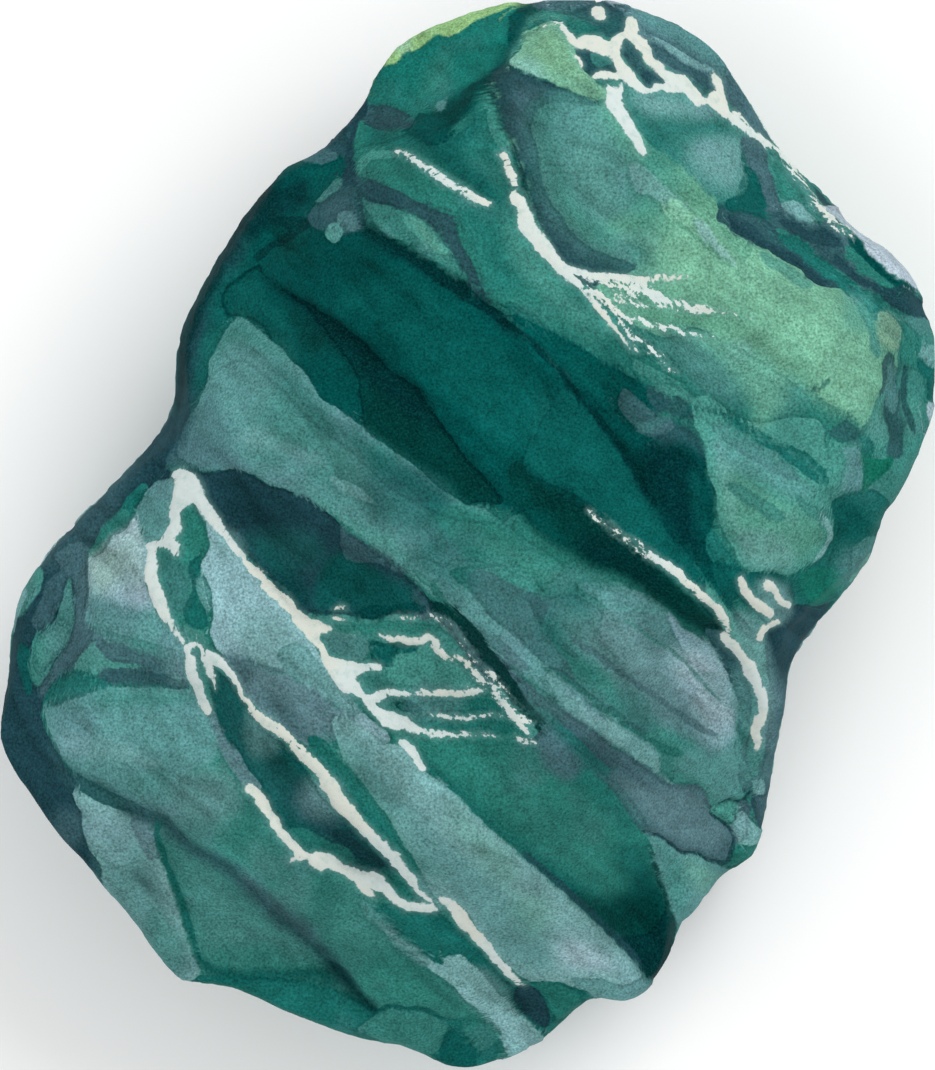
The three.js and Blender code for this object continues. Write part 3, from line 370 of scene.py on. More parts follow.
jade 0.9 0 0.7  34.4,40.8 37,41 39.8,40.2 39.6,38.4 37,38.4 35.4,38.8
pewter 1 0 0.4  34.6,40.6 37,40.8 39.4,40.2 39.2,38.6 36,38.7
deep 0.35 0.15 0.95  39.8,40.1 41,40 42.4,40 44,39.8 44.7,39.5 44.4,39.1 43.2,39 42.4,38.8 42.4,38.2 42,37.8
  40.6,38 39.8,38.8
moss 0.7 0 0.6  42.4,38.8 44,39.1 45.2,39.7 46.4,39.9 48,38.6 49.6,37.8 51,36.8 51,36 48,36 44,36 42,36.3
  41.6,37 42,37.7
jade 0.7 0 0.95  43,34.9 46,35 50,35 53,35.2 54.4,34 56,32.4 56.6,31 54,30.4 50,30.6 46,30.8 44,31.8
  44.4,33.4
teal 1 0 0.7  45,34.6 49,34.7 53,34.6 55.4,32 53,31.4 49,31.6 45.4,32 45,33.4
deep 0.35 0.1 0.95  42.4,34.4 43.4,34.8 44.6,34.5 45.3,34 45.2,33.6 43.6,33.6 42.6,33.9
pewter 1 0 0.5  44.6,42.6 46,42.8 47.6,42.3 48.8,41.4 50,40 51.4,38.4 53,36.7 52,36 50.6,37.4 49.4,39
  48.4,40.4 47.6,41.2 46,41.9
# the dark band with the right vein in it
jade 1.4 0 0.9  48.6,52.8 52,52.4 55,51.6 58,49.6 61,48 64,46.8 66.4,45.6 64,44.8 61.4,44.8 58.6,44.4
  56.4,45.8 54,47 51,47.6 49,49 47,51
moss 1.6 0 0.4  52,50 55,49 58.4,47.2 61.6,46 61,45 58,45.4 54.6,47.4 51.6,48.8
deep 0.9 0.1 1  56,56.4 57,59 58.6,61.6 60.4,63.4 62.6,61.4 64.6,59.2 66.6,57 68.4,54.8 70,52.6 71.6,50.4
  73.4,48.4 75,46.6 76.6,45 78.4,43.4 78.6,41.6 76,42.4 73.4,45 70.6,47.4 68,49.2 65.4,50.8 63,52.8
  60.4,54.2 58,55
pine 1.1 0.2 1  55,57 57,55.6 58.4,54.6 60.2,54 62,53.2 64,51.6 66,50.4 68,49 70,47.6 72,46 74,44.2 76,42.6
  78,41.4 79.4,40.6 79.6,38.4 78.6,37.4 77.4,38.8 76,40.2 74,41.4 72,42.7 70,44 68,45.2 66,45.9 64.4,46.6
  62.4,47.5 60.2,48.6 58.4,49.5 56.4,50.8 54.8,52.8 54,55
deep 1.6 0 0.5  54.2,55 56,53.6 58.4,51.8 61,50.4 60.4,49 57.6,50.4 55,52.4
pine 1.6 0 0.5  59,51.6 61.6,50.6 64,48.6 63.4,46.6 61,47.6 59,49.6
night 1.8 0 0.7  62.6,50 65,49.4 68,47.6 70.4,45.6 69.6,44.8 67,46 64,47.2 61.8,48.6
moss 0.4 0 0.9  75.2,45.4 76.4,44.4 77.4,43.3 78.2,42.1 78.9,40.9 79.6,41.3 80.4,42.2 81,41.7 80.9,40.6
  81.2,39 81.8,37.4 82.2,36 82.1,34.6 81.8,33.6 80.8,35 80,36.8 79,38.6 78,40.2 76.8,42 75.8,43.6
# the dark hollow on the right
fir 0.8 0 1  62.6,63.6 64.6,61.6 66.4,60.6 67.8,60.2 69,59.6 71,59.6 72.6,60.4 74,59.6 75,58.4 75.6,56
  76.2,54 76.3,52 75.8,50 76.2,48.6 77,47.2 78.4,45.6 79,43.4 77,44.4 75,46.4 73,48.6 71,50.8 69.4,53.2
  67.8,55.4 66,57.6 64,60
night 2.2 0 0.9  68,56.4 69.4,58.4 72,58.4 74.4,57.6 75,55 75,52 74.6,50 75,47.6 72.6,49.2 70.2,52.4
slate 1.2 0 0.85  70,59.6 72,60.8 74,60 75.2,58.6 75.3,57.4 74,58.2 72.6,58.7 71,58.6
deep 1.2 0 0.7  73.8,55.8 74.8,55 75.2,52.4 75.4,50.6 74.6,51.2 73.8,53
teal 0.8 0 0.9  76,50.6 77,49.4 78.4,47.6 79.4,46.8 79.2,46 77.6,46 76.2,47.4 75.4,48.8 75.4,50
# the long bands between the far left lobe and the scoop
jade 0.9 0 1  38,88.6 39.4,89.4 42,88 45,86.8 48.4,87 50.4,88.8 52,91.8 53.2,91 54,88 55.4,85.6 56.2,83
  57,80.4 58.6,78 61,75.4 64,72.4 67,69.6 70,67.4 73,65.4 76,62.6 75,61 73,62.4 70,63.4 67,65 64,66.6
  61,68.4 58,70 55,71.4 52.6,72.2 51.6,73 50.6,76 49.4,78.6 48.4,80 45,81 41,82.6 38.2,84
teal 1.4 0 0.8  39.6,88 42,87.8 44.4,86.6 43.6,85.4 41,85.8 39.4,86 39,87
moss 0.8 0 0.7  38.4,84.6 39.2,85.2 40.4,85.6 42.2,85.5 41.4,84.9 40,84.6 39.2,83.8 38.4,83.2
deep 1.2 0 0.8  43.4,87.4 46,87 48.6,87.2 50.2,88.4 51.4,89.6 51,87.4 49.4,86 51,84 52.6,82.6 53.4,81
  52,81.2 50,82.5 48,83.7 46,84.9 44.6,85.8
teal 1.6 0 0.5  48.4,86.4 50.6,88.6 52.2,90.6 52.8,88 53,85.4 52.4,83 50.4,84
moss 0.8 0 0.5  51.8,91.2 52.5,90.8 53.4,89 54.1,87.5 54.9,85.8 54,85.6 53,86.4 52.3,88.6
teal 2.4 0 0.6  49.4,79.8 52.4,80.6 55,78.6 57,76.4 56,74.4 54.6,72.4 52.4,73 51,76
moss 2 0 0.8  54,79 56.2,77.4 59,74.4 62,71.8 65,69.4 64,67.8 60.4,70.2 57.4,72.8 55,75.4
pine 0.5 0 0.75  52,92 53,90.8 53.6,89.4 54.2,88.2 55,86.8 55.6,85 56.2,83.4 56.6,81.9 57.2,80.6 58.4,79.1
  59.2,78.2 58.6,77.8 57.4,79.2 56.4,80.9 55.7,82.9 55,85 54.2,87 53.3,89 52.5,90.6 51.6,91.6
teal 2 0 0.6  62.8,69.8 66,67.4 70,65 74,62.6 72.4,62.6 68,64.6 64,66.8
moss 0.9 0 0.6  67.2,66.8 69.4,65.6 72,64.4 74,62.8 73.4,62.4 70.6,63.8 68,65.4
fir 0.8 0 0.95  54.6,70.8 56.4,70.2 58,69.4 60,68.4 62,67.5 64,66.6 66,65.5 68,64.4 70,63.3 71.6,62.6
  70.4,61.4 68,60.2 66.8,58.4 65,60 62.6,62.6 60.6,64.8 58.4,66.6 56.2,68.3
deep 1.4 0 0.6  60.4,67 63,66 66,64.4 68.4,62.8 67.4,61.6 64.6,63.4 62,65
slate 0.8 0 0.8  70.6,63.6 71.6,62.7 73,62.9 74.4,62 74.8,60.6 73.4,60.8 72,61.2 70.6,61.6 69.4,62.6
  69.4,63.6
moss 0.5 0 0.8  70.2,64 71.6,63.6 72.6,63.2 74,62.2 73.6,62 72.4,62.7 71.2,63.1
steel 0.7 0.05 0.6  66.4,63.4 67.2,63.2 68.2,62.6 69.6,61.7 70.6,61.1 71.8,60.9 72.1,60 71.4,59.4 70.2,59.3
  68.6,59.6 67.6,60.2 66.9,61 66.2,62.2
# the slate lens at the upper left
slate 0.8 0.05 1  38.4,90.6 40,90.2 41.6,89.9 43.2,89.4 44.4,88.7 44.7,88.3 44,88 42.4,87.8 40.8,87.8
  39.6,88.2 38.6,88.8
steel 1.4 0 0.3  39.4,89.8 41.4,89.7 43.4,88.9 43.4,88.2 41,88.1 39.6,88.8
navy 0.7 0.1 1  38.6,91.2 39.3,90.6 39.1,89.4 38.6,88.6 38.2,87.2 38.1,85.4 38.4,84 38.6,82.8 38,82 37,81.9
  36.8,83.4 37.1,84.6 36.4,85.6 34.8,86.2 36,88 37.4,90
slate 1 0 0.6  35,86.2 36.2,85.9 37,84.8 37.2,86.2 37.6,88 36.4,87.6
slate 0.6 0.1 1  32.9,79.4 33.8,80.6 35,81.3 36.4,82 37.8,82.3 38.6,81.6 39,80.2 39.2,78.6 37.4,78 35.6,78.2
  34,78.4
steel 1.2 0 0.4  34.8,79.8 35.6,80.6 37.4,81.2 38,80 37.4,79 35.6,79
sea 0.6 0.05 0.9  33.6,80.8 34.8,81.8 36,82.7 36.9,83 36.9,82 36,81.5 34.8,80.9
mist 0.8 0 0.5  36.2,79.6 37.4,80.2 38.2,79.4 38.2,78.2 37,78.4
moss 0.4 0.1 1  34.9,78.2 35.5,78.9 36.3,79 37,78.2 36.3,77.2 35.1,77.6
slate 0.5 0.1 1  38.3,83.4 39.8,83 41.4,82.4 43.4,81.6 45.4,80.8 47.2,80.1 48.4,79.5 49,78 49.8,76.4
  50.8,74.6 51.7,72.9 52.4,71.5 51.2,71.6 50.2,73 49.4,74.2 48.4,75.6 47.4,77 46.6,77.9 45.4,78.8 44,79.6
  42.2,80.2 40.4,80.6 39.2,81 38.4,82
navy 1.1 0 0.5  38.4,83 41,82.2 43,81.2 42,80.6 39.4,81.4
pine 0.6 0.1 1  40.6,78.2 42,77.6 44,76.5 46,75.5 48,74.5 49.8,73.4 51.4,72 53.2,71 55,69.8 56.2,68.8
  54.6,69 52.6,70.2 50.6,71.2 48.6,72.3 46.6,73.6 44.6,75 42.8,76.2 41.2,77.1
sea 0.4 0.15 1  38.9,81.4 40.2,80.9 42.2,80.4 44,79.8 45.6,79 46.8,78 47.8,76.8 48.6,75.5 49.8,73.9
  48.2,74.7 46.8,75.3 45.6,76 44.2,76.9 42.8,77.4 41.6,77.8 40.6,78.6 39.6,80
moss 0.5 0 0.9  43,79.6 44.8,79.2 46.6,77.9 47.7,76.6 48.1,75.8 46.8,76.2 45.6,76.8 44.4,77.7
leaf 1.2 0 0.3  44,79.2 45.2,78.8 46.8,77.3 47.8,75.9 46.6,76.4 45.2,77.5
fir 0.6 0 0.95  42.9,87.7 43.8,87.9 44.4,88.3 44.7,88.9 45.2,89.2 46.2,89.1 47,89.2 47.7,89.4 47.9,90.2
  48.2,90.5 49,90.3 49.3,90.5 49.1,91.1 49.8,91.6 50.6,92.2 51.5,92.4 52.2,92.9 52.8,93.6 53.6,93.9
  54.2,94.6 54.4,95.6 54.3,96.6 54.6,97.4 54.5,98.2 55,98.8 56.4,99.2 57.4,99.2 56.4,98.2 55.8,97 55.2,96
  54.8,95.2 54.4,94.2 54.2,93.7 53.6,93.2 53,92.6 52.6,91.8 51.9,92 51.2,91.8 50.5,91 50.4,90.2 50,89.6
  49.4,89 49,88.2 48.9,87.6 48.3,86.8 47.6,86.5 46.6,86.2 45.4,86.3 44.2,86.9 43.4,87.4
pine 1.1 0 0.9  47,89.2 47.9,90 48.8,90.4 49.6,91.1 50.4,92 51.4,92.4 52.4,92.9 53.4,93.7 53.8,93.2
  52.6,92.4 51.8,91.9 51,91.8 50.3,90.9 50.2,90 49.5,89.2 48.8,88.4 48.2,87.9 47.8,88.6
mist 0.5 0 0.6  46.7,89.9 47.4,90.4 48,90.4 47.7,89.6 47.2,89.3
# the scooped face of the right shoulder
fern 0.6 0.1 1  52.4,92.6 54,93.8 56,93.1 58,92.4 60,91.7 62,91 64,90.5 65,91 66.6,89.4 68,87.6 70,86.2
  72.6,84.4 75,82.2 77,80.4 79,78.8 82,77 85,75.4 88,73.4 90,72 92,70.4 94,69.6 96,68.4 96,65 94.4,63
  94,60.4 92.4,59.4 91,61 88,62.4 85,64 81,66.4 77,68 74,69.4 71,68.4 67,70 63,73 60,75.6 58,78.4 56.8,81
  56,83.6 55,86 53.8,88.6 52.8,91
navy 0.6 0.1 0.95  52.4,92.6 54,93.8 56,93.1 58,92.4 60,91.7 62,91 64,90.5 63.4,89.9 60.5,90.2 58,90 57,88
  57.4,85 58.2,82 60,79.4 62,77.4 65,76 68,75.2 67,74.2 64,73.6 63,73 60,75.6 58,78.4 56.8,81 56,83.6 55,86
  53.8,88.6 52.8,91
steel 1.8 0 0.7  55,92.1 57,91.7 59.6,91 62,90.2 63.6,89.6 61,88.6 59,86.6 59.2,83 60.6,80 63,78 66.4,76.6
  69,76 68,75 64,75.6 61,77 59,79.2 57.6,82 56.8,85 55.6,88 54.8,90
sea 3.4 0 0.85  57.4,89.8 60,90.6 62,88 61.4,85 63,81 66,78.6 70,77 70,75 64,76.4 60.4,79.4 58.4,83.4
moss 3 0 0.6  60,91 65,90 69,86 73,83 70,80 66,81 62,86
leaf 4 0 0.85  72,80 76,79 80,77.4 85,74.8 89,72.4 92.4,69 93.6,65 92,61.4 88.4,62.6 84,66 79,69 74,71.6
  70.6,73.6 70,77
fern 2.4 0 0.5  79,71 83,69 86,66.4 86.4,63.6 83,65 79,67.4 75,69.4 74.4,71.4
moss 1.6 0 0.9  76,68.6 79,68 82,66.6 84.4,64.6 86.4,62.8 84,61 80,62.4 76.4,63.6 73,65.6 70.4,67.4 72,69.4
steel 1.2 0 0.2  68.6,68.4 71,68.2 74,67 76.4,65.4 78.6,63.4 80,62 78,61.4 75,63.2 72.6,65.2 70,67
mist 2.4 0 0.7  59.4,90 63,90 66,87 68,83.4 67,80 64,79 61,82 59.2,86
jade 2 0 0.3  67,82.6 70,82 72,79.4 70.6,77.6 67.6,79
fern 0.9 0 0.7  76.2,79.2 77.6,78.4 79.2,77.6 80.4,76.8 79.6,75.2 78.6,76 77.2,77.6
moss 0.8 0 0.6  81,76.4 82.6,75.6 84.6,74.4 86.4,73 85.6,72.6 83.8,73.8 81.8,75
frost 1 0 0.35  67,84.4 68.6,84.6 70.4,83 72.4,81.4 73.6,80.4 72.4,80.2 70.4,81.2 68,82.2
leaf 0.5 0.1 0.9  71,80.8 72,81.4 73,80.7 74,79.8 75,79.3 75.6,79.1 76,78.4 76.8,77.4 77.6,76.4 78.4,75.3
  79.2,74.4 79.9,73.8 79,74.1 78,74.8 77,75.4 76,76.3 75,77.2 74,77.9 73,78.6 72,79.2 71,80
frost 0.8 0 0.55  74.2,79.4 75.4,79.1 76.2,77.9 77.4,76.4 78.6,74.9 77.2,75.6 75.8,76.8 74.6,78
moss 1.2 0 0.8  54.4,94 55.4,96 56.4,97.4 57,98.6 60,98.9 62.4,98.4 62,97.4 60.4,97.8 58,97.9 56.4,97
  56,95.6
teal 0.8 0 0.8  60.4,98.3 62.2,98 63.6,97.3 64.8,96.4 64,96 62.5,96.8 61.4,96.2 60.7,97
leaf 0.4 0.1 1  54.5,93.9 55.4,94.6 56,95.6 56.1,96.6 57,96.9 57.7,97.4 58.3,97.7 60,97.7 60.4,96.9 60.9,96
  61.5,95.2 61.6,94.2 62.3,93.2 63,92.8 63.7,92 64.7,91.6 65,91 64.5,90.6 63.2,90.9 62,91 61,91.2 60,91.6
  59,92 58,92.3 57,92.7 56,93.1 55.2,93.4
lime 1.4 0 0.2  57,95 58.6,96.8 60,96 61,94 62.6,92.6 60,92.9 57.4,93.9
# the far right lobe
sea 0.8 0.05 1  64.6,91.6 66,92.2 70,92 74,91 77,90 79.6,88 81,86.6 81,84 81.6,81.8 81,79.6 78.6,79.4
  77,80.6 75,82.4 72.8,84.4 70.4,86.2 68.4,87.6 66.8,89.6
haze 1.6 0 0.7  67.4,90.9 70,91 73,90.6 76,89.6 75.6,88.6 72,88.9 69,89.2
teal 1.2 0 0.5  67.4,89 70,88.6 74,88.6 77.6,88.4 78.4,87.4 75,87 72,87.2 70.4,86 68.8,87
haze 2.2 0 0.65  74,86 77,87 79.4,86.4 79.2,84 78.4,82 76,82.6 74.4,84
deep 0.9 0 0.7  79.2,86.4 80.2,85.4 80.4,83.8 81.2,82.6 81.6,80.6 79.4,80.4 78.6,82 79.2,84
# the top edge
steel 0.7 0.05 1  57,99.4 60,98.8 63,97.6 65,96.4 67,96.6 69.4,94.6 72,93 74,92.4 76,91.4 78,90 80,88.2
  82.4,86.6 85,84.6 88,82 91,79.6 93,82 86,88 82,91 80,94 76,98 68,101 60,102 55,101
mist 1.2 0 0.7  69,97.6 71.4,96.4 74,95 76.4,93.4 77.4,93 77,95 74,97.6 70,99.4 67,100
haze 0.5 0 0.7  69.4,96.6 71,96 73,95 75,94 76.2,93.2 75.4,93.2 73,94.2 71,95.3
navy 0.9 0 0.8  61,98.7 62.2,99.3 64,99.5 66,99 66.9,98 66.8,96.8 66,96.9 65,96.2 64.2,97 63,97.9 61.8,98.3
pearl 0.5 0 0.8  57.6,100.4 58.4,99.9 60,99.75 62,99.75 64,99.65 65.6,99.3 67,99.4 64,101
navy 0.6 0.05 0.9  61.4,94.8 62.2,95.6 63.2,95.6 64.4,95 65.4,94.8 66,93.4 65.6,92.8 64.2,93 63.4,92.6
  62.6,93
sea 0.7 0 0.7  63.2,95 64.6,94.9 65.4,94.4 65.2,93.8 63.8,93.6 63.1,94.2
slate 0.6 0.05 0.95  66,95.6 66.8,96.4 67.6,96.4 68.4,95.4 69,94 69.8,93.4 71,93.4 71.7,92 70.8,91.8
  69.4,91.4 68.6,92 67.8,93.2 66.8,94.4
navy 0.7 0 0.8  68.4,93 69.4,93.4 70.8,93.2 71.4,92.2 70.4,91.9 69.2,92
navy 0.7 0 0.7  73.8,92.4 74.8,92.4 76,92 76.4,91.4 75.4,91 74.6,91
slate 0.8 0 0.6  68.6,96.4 70.4,95.6 73,94.2 76,92.6 75.4,92 72.6,93.2 70,94.4
# the slate bands on the right rim
steel 0.6 0.1 1  79.2,87.2 80.6,87 81.9,85.6 82.3,84 82.9,82.9 83.1,81.6 83.7,80.7 84.6,79.8 86,79.3
  87.4,79.1 88.6,79.2 89.6,78.4 90.6,77.7 91,77 90.3,76.8 90.2,75.8 91.4,75 91.8,74.2 92.8,74 93.4,73.4
  94.2,72.6 93.4,72.3 92,72.9 91.2,73.6 90.4,74.2 89.6,74.6 88.8,75.4 87.6,76.2 86.4,77 85.4,77.9 84,78.3
  82.6,78.6 81.9,79.4 81.8,81 81.7,82.2 81,83.2 80.5,84 79.9,85
slate 1 0 0.9  82,79.6 83.2,80.1 84.8,79.7 86.4,79 88.4,78.6 90.2,77.2 90,76 91.2,74.8 93.6,73 92.6,72.8
  90.4,74.2 88.2,75.8 86.2,77.4 84,78.3 82.6,78.6
navy 1 0 0.8  83.4,79.4 85,79.2 86.6,78.4 88.2,78.4 89.6,77.8 89.6,77 88,77.2 86.2,77.6 84.4,78.3
navy 1 0 0.8  89.2,76.2 90,75.6 91.2,74.6 93,73.4 92.8,72.9 91,74 89.6,74.9
sea 0.5 0.15 1  82.2,85.4 83.4,84.4 84.8,83.2 86,82 87.2,80.6 87.8,79.6 87,79.2 85.6,79.5 84.2,80.2
  83.4,81.4 83,82.6 82.4,84
jade 0.9 0 0.8  82.8,84.6 84.6,83 86,81.4 85.4,80.9 84,81.4 83.2,82.6
haze 0.7 0 0.75  83.6,80.6 84.4,81 85.6,80.8 86.6,80 87.2,79.4 86.2,79.2 84.8,79.7
slate 0.7 0.05 1  86.6,83.4 87.6,82.4 88.8,81 89.8,79.8 89.6,79 88.8,79.4 88,80.4 87.2,81.6 86.2,83
deep 0.6 0 1  76.3,80.4 77,80.9 78.2,81.4 79.4,82 79.8,83.4 79.4,84.4 80.4,84.2 81.2,82.9 81.7,81.6
  81.8,80.2 82.2,79.2 80.8,79.4 79,79.9 77.4,80.2
slate 0.5 0.1 1  76.9,80.9 77.5,80.5 78.8,80.1 80.2,79.9 81.2,79.4 82.3,78.9 82.9,78.3 83.5,77.6 84.8,76.6
  86,75.6 87,74.8 88,74 89,73.4 90.4,73.2 91.4,73 91,72.3 89.9,72.7 88.5,72.6 87.6,72.9 86.6,73.4 85.6,74.5
  84.6,75 83.6,75.5 82.6,76.1 81.6,76.6 80.4,77.1 79.4,77.4 78,78.3 77,78.9 76.3,79.6
navy 0.9 0 0.9  77.6,79.8 79.2,79.2 80.8,78.6 82.2,77.4 83.8,76.6 85.4,75.6 86.8,74.4 88.4,73.3 87.4,73
  86.2,73.8 84.8,75 82.8,76.1 80.6,77.2 78.4,78.2
teal 0.5 0.1 1  83.2,77.8 84.6,77.9 85.6,77.4 86.6,76.6 88,75.7 89,74.9 89.6,74.2 90.8,73.7 91.4,73.1
  89.6,73.1 88.6,73.6 87.4,74.4 86.4,75 85.4,76 84,76.8
fir 0.6 0 1  90.8,77.8 91.8,77 93,75.9 94.4,74.6 95.8,73.4 97.4,72.2 96.4,72.4 94.8,73.7 93.2,75 91.8,76.2
  90.8,77
navy 0.7 0.05 0.95  93.4,73.4 94.6,72.9 95.8,72.8 97,72.3 98.3,71.4 98.8,70.2 97.8,70 96.6,70.6 95.6,71.2
  94.4,71.8 93.2,72.4
pearl 0.7 0 1  87.6,80.2 88.6,79.6 89.6,79.1 90.6,78.1 91.8,77.1 93,75.9 94.2,74.9 95.4,73.9 96.4,73
  97.4,72.3 98.3,71.4 100,71.4 98,74 95,77 92,79.4 90,80.6
# the right rim
sea 0.7 0.1 1  91,72.6 93,71.8 95,71 97,70.4 99,70 101,68 101,62 99,57 96,53 95,50 93,46 90,44 88,44 88.6,48
  89.4,50.6 88.6,53 88,56 90,58.4 92.4,59.4 93.8,60.6 94.4,63 95.6,65.4 95.4,67.6 93.6,69.2 92,70.4
teal 0.5 0.15 1  89.4,72.9 91.4,72.8 93,72.3 94,71.8 94.3,71 93.2,70.4 92.2,70.6 91.4,71.2 90.2,72
moss 0.8 0 0.8  90.6,72 91.6,71 92.6,69.9 93.2,68.5 93.6,67 92.8,66.6 92,68.8 91.2,70.4
olive 0.6 0.1 0.75  93.6,70.6 94.6,70.6 95.4,70 96,69 96.4,68.2 95.8,67.4 94.8,67.3 93.8,67.8 93.2,68.9
slate 0.6 0.05 0.85  93.9,66.8 95,67 95.6,65.2 96,63.2 96.5,61.6 96.7,60.4 96.5,59.4 96.6,58.2 96.1,57
  95,57.2 94.4,57.6 94.8,58.4 94.8,60 94.4,61 94,62 93.5,63 93.9,64.4 93.7,65.6
mist 1 0 0.6  94.4,66 95.2,65.6 95.8,63.4 95.6,61.2 94.8,61.6 94.2,63 94.6,64.4
jade 1 0 0.9  96.2,70 97.6,69 98.4,67.6 99.8,66.6 99.9,64 99.3,62 98.4,62.4 98.4,64.2 97.4,65.4 96.2,65.8
  95.8,67.4
deep 0.8 0 0.8  98,66.6 99,66.4 99.8,64.8 99.4,62.6 98.7,62.8 98.8,64.4 98,65.4
moss 1.2 0 0.9  96.2,62.4 97.4,63 98.2,62 98.2,60.4 97.4,58.8 96.8,59 96.6,60.6
haze 0.6 0 0.6  98.2,67.6 99.6,67.4 100.2,65.8 99.2,65.6 98.4,66.6
pearl 0.5 0 0.6  98.9,62.2 99.8,62 99.4,60 98.8,59.8 98.8,61
moss 0.6 0.1 0.9  92,60 92.8,61.3 93.4,62.9 94.2,63 94,61.7 94.6,60.4 94.7,58.9 93.8,58.1 92.8,58.8
  92.2,59.4
slate 0.6 0 0.65  88,60 88.8,59.9 90,60.5 91,60.2 91.7,59.6 91.8,58.8 90.8,58.6 89.4,58.8 88.4,59.2
teal 0.5 0 0.8  91.8,59.4 92.9,58.9 93.1,57.8 92,57.3 91.4,58.2
moss 0.8 0 0.8  88.3,58.4 89.4,58.6 91.2,58.4 91.8,57.6 90,54.2 88.4,53.8 88,56
mist 0.7 0 0.8  89.6,57.8 91,58 91.9,57.2 92.3,56 91.8,54.6 90.8,54.3 89.9,54.8 90.2,56.4
teal 0.5 0.1 1  88.8,53 90.6,54 92,54.2 93.2,54.4 94.6,53.4 94.6,52 94.2,50 93.2,48.6 92,46.8 90.2,44.8
  88,42.6 86.4,42.9 85.6,43.3 84.6,44.2 84.3,45.6 85,47 86.2,47.4 87.4,47.9 88.2,48.5 88.9,49.8 88.8,51.4
deep 1.2 0 0.8  89,52.6 90.8,53.2 92.6,52.2 92.4,50.4 90.6,49.4 89.2,50
grass 0.9 0 0.5  85.4,46.4 87,47 89,46.8 90,45.6 88.4,44.2 86.4,44
moss 0.9 0 0.6  91,48.8 92.6,50 93.8,49.4 92.4,47.4 91,46.6
leaf 0.5 0 0.8  92,48 93.4,48.6 92.6,47 90.8,45.4 90.8,46.4 91.6,47.2
grass 0.6 0.05 0.9  91.6,57.6 92.4,57.3 94,57.1 95.4,57 94.6,55.9 93.6,55.3 92.6,54.5 91.9,54.2 92.2,55.6
# the green face right of the hollow
moss 0.8 0.1 1  74,62.4 75.4,63 77,62 79.4,60.8 82,60.4 85,61 87.6,60.6 88.2,57 88.2,54 88.8,51.6 88.7,49.8
  87.8,48.3 86,47.3 84.6,46.4 82.8,46.6 80.8,46.6 79.4,46.8 78,48.8 77.2,50.4 76.6,52 76.4,53.4 75.9,55
  75.4,56.6 75.2,58.4 74.2,60
fern 2 0 0.5  77,57 80,55 84,53 88,51 87,48.6 83,47.4 79.6,48 77.6,50.6 76.8,54
mist 1.2 0 0.65  75.6,58.6 76.6,59.4 78,58.6 80.4,57.4 82.6,56.2 84.8,55.4 86.6,53.8 84.6,53.4 81.4,55
  78.6,55.6 76.4,56.8
haze 1.2 0 0.3  76.4,58.4 77,58.4 77.6,56.4 78.4,54 78.8,51.4 79.8,49 78.8,49.4 78,51.2 77.4,53.6 76.6,56
steel 1 0 0.4  77,60.6 79.6,59 82.4,57.6 85.4,55.4 84.4,55 81,56.6 78,58.2 75.8,60
sea 0.7 0 0.7  77.4,54.8 79,54.6 81,53.6 83,52.4 83.8,51.4 82.2,51.4 80,52.8 78,54
haze 1.4 0 0.4  79,50.4 81.6,50.4 84,49.4 84.6,47.4 82.4,47 80.2,47.2 79,48.4
teal 0.6 0.05 0.95  77.6,60.4 78.6,60.9 80,60.1 82,59.2 84,58.6 85.6,58 87,57 88.1,56 88.3,54.8 87.4,54.6
  86.2,55.3 85,56 83.6,57 82,58 80,59.2
sea 0.7 0 0.6  84.8,53.8 86.4,52.8 88,52.6 88.6,51.4 87.4,51.2 85.6,52.4
haze 0.4 0 0.85  87.1,52.2 87.8,52 88.5,51 88.9,50 88.5,49.1 87.7,48.2 86.6,47.7 87.6,48.9 88.1,49.8
  87.9,50.8 87.5,51.6
# the right waist
deep 1 0 1  76.4,47.6 78,47 80,46.4 82,46.6 84,46 85,44.6 84.6,43.4 83,42.6 82,41.4 81.6,40 80,40.4
  78.8,41.4 78,43 76.6,45
jade 0.6 0.1 0.9  78.4,44 79.4,43.8 80.6,42.6 81.6,41.8 80.8,41.2 79.4,42 78.4,43
navy 0.6 0.15 1  82.4,43 84,43.4 85.6,43.5 87.4,43.4 89.6,43.6 88,40 86,37 85,33 84,28 83,24 81.6,21 80.8,23
  80.3,25 80.6,27 81.2,29 81.6,31 82,33.4 82.1,36 81.8,38 81.4,39.6 81.6,41.4
steel 1.4 0 0.8  81.6,34 83.6,37 84,33 83.2,28 82.4,25 81,23 80.6,26 81.4,29
slate 0.7 0.1 1  75.2,41.4 76.8,41 78.4,40 79.4,38.2 80,36 80.2,33.6 79.9,31 79.9,29 80.3,27 79.6,26
  78.8,27.2 78.5,29 78.4,31 79,33 78.8,34.8 78,36.6 77,38.6 76,40
sea 1 0 0.7  78.6,33 79.4,34.6 79.8,32 79.4,29.6 80.2,27.4 79.4,27.4 78.6,29.4
haze 0.5 0.1 0.8  80.3,27.4 81.3,27 81.2,26 80.4,26.2
moss 0.35 0.5 1  75.7,24.5 76.4,25 77.6,25.1 78.8,25 79,24.2 78.5,23.2 78,22.5 77.2,23 76.3,23.7
haze 0.4 0.15 0.8  78.9,24.4 79.9,23.8 80.6,22.8 81.6,22.4 81.6,21.4 80.4,21.1 79.3,21 78.6,21.6 78.3,22.5
  78.8,23.4
# the near edge's bands
teal 0.6 0.15 1  40.4,15 42,15.6 43.8,14.9 46,15.2 47.6,14.4 49.6,12.7 51.6,11 53.6,9 55.4,7.6 57,8.2
  59.4,8.2 61.6,7.8 63.4,7 64,5 61,2.6 58.6,2 57.8,3.1 56.2,4.4 54.2,6.3 52.2,8.2 50.4,10 48.8,10.7
  47.8,10.4 47.2,9.8 45.6,10.6 43.8,12 42,13.6
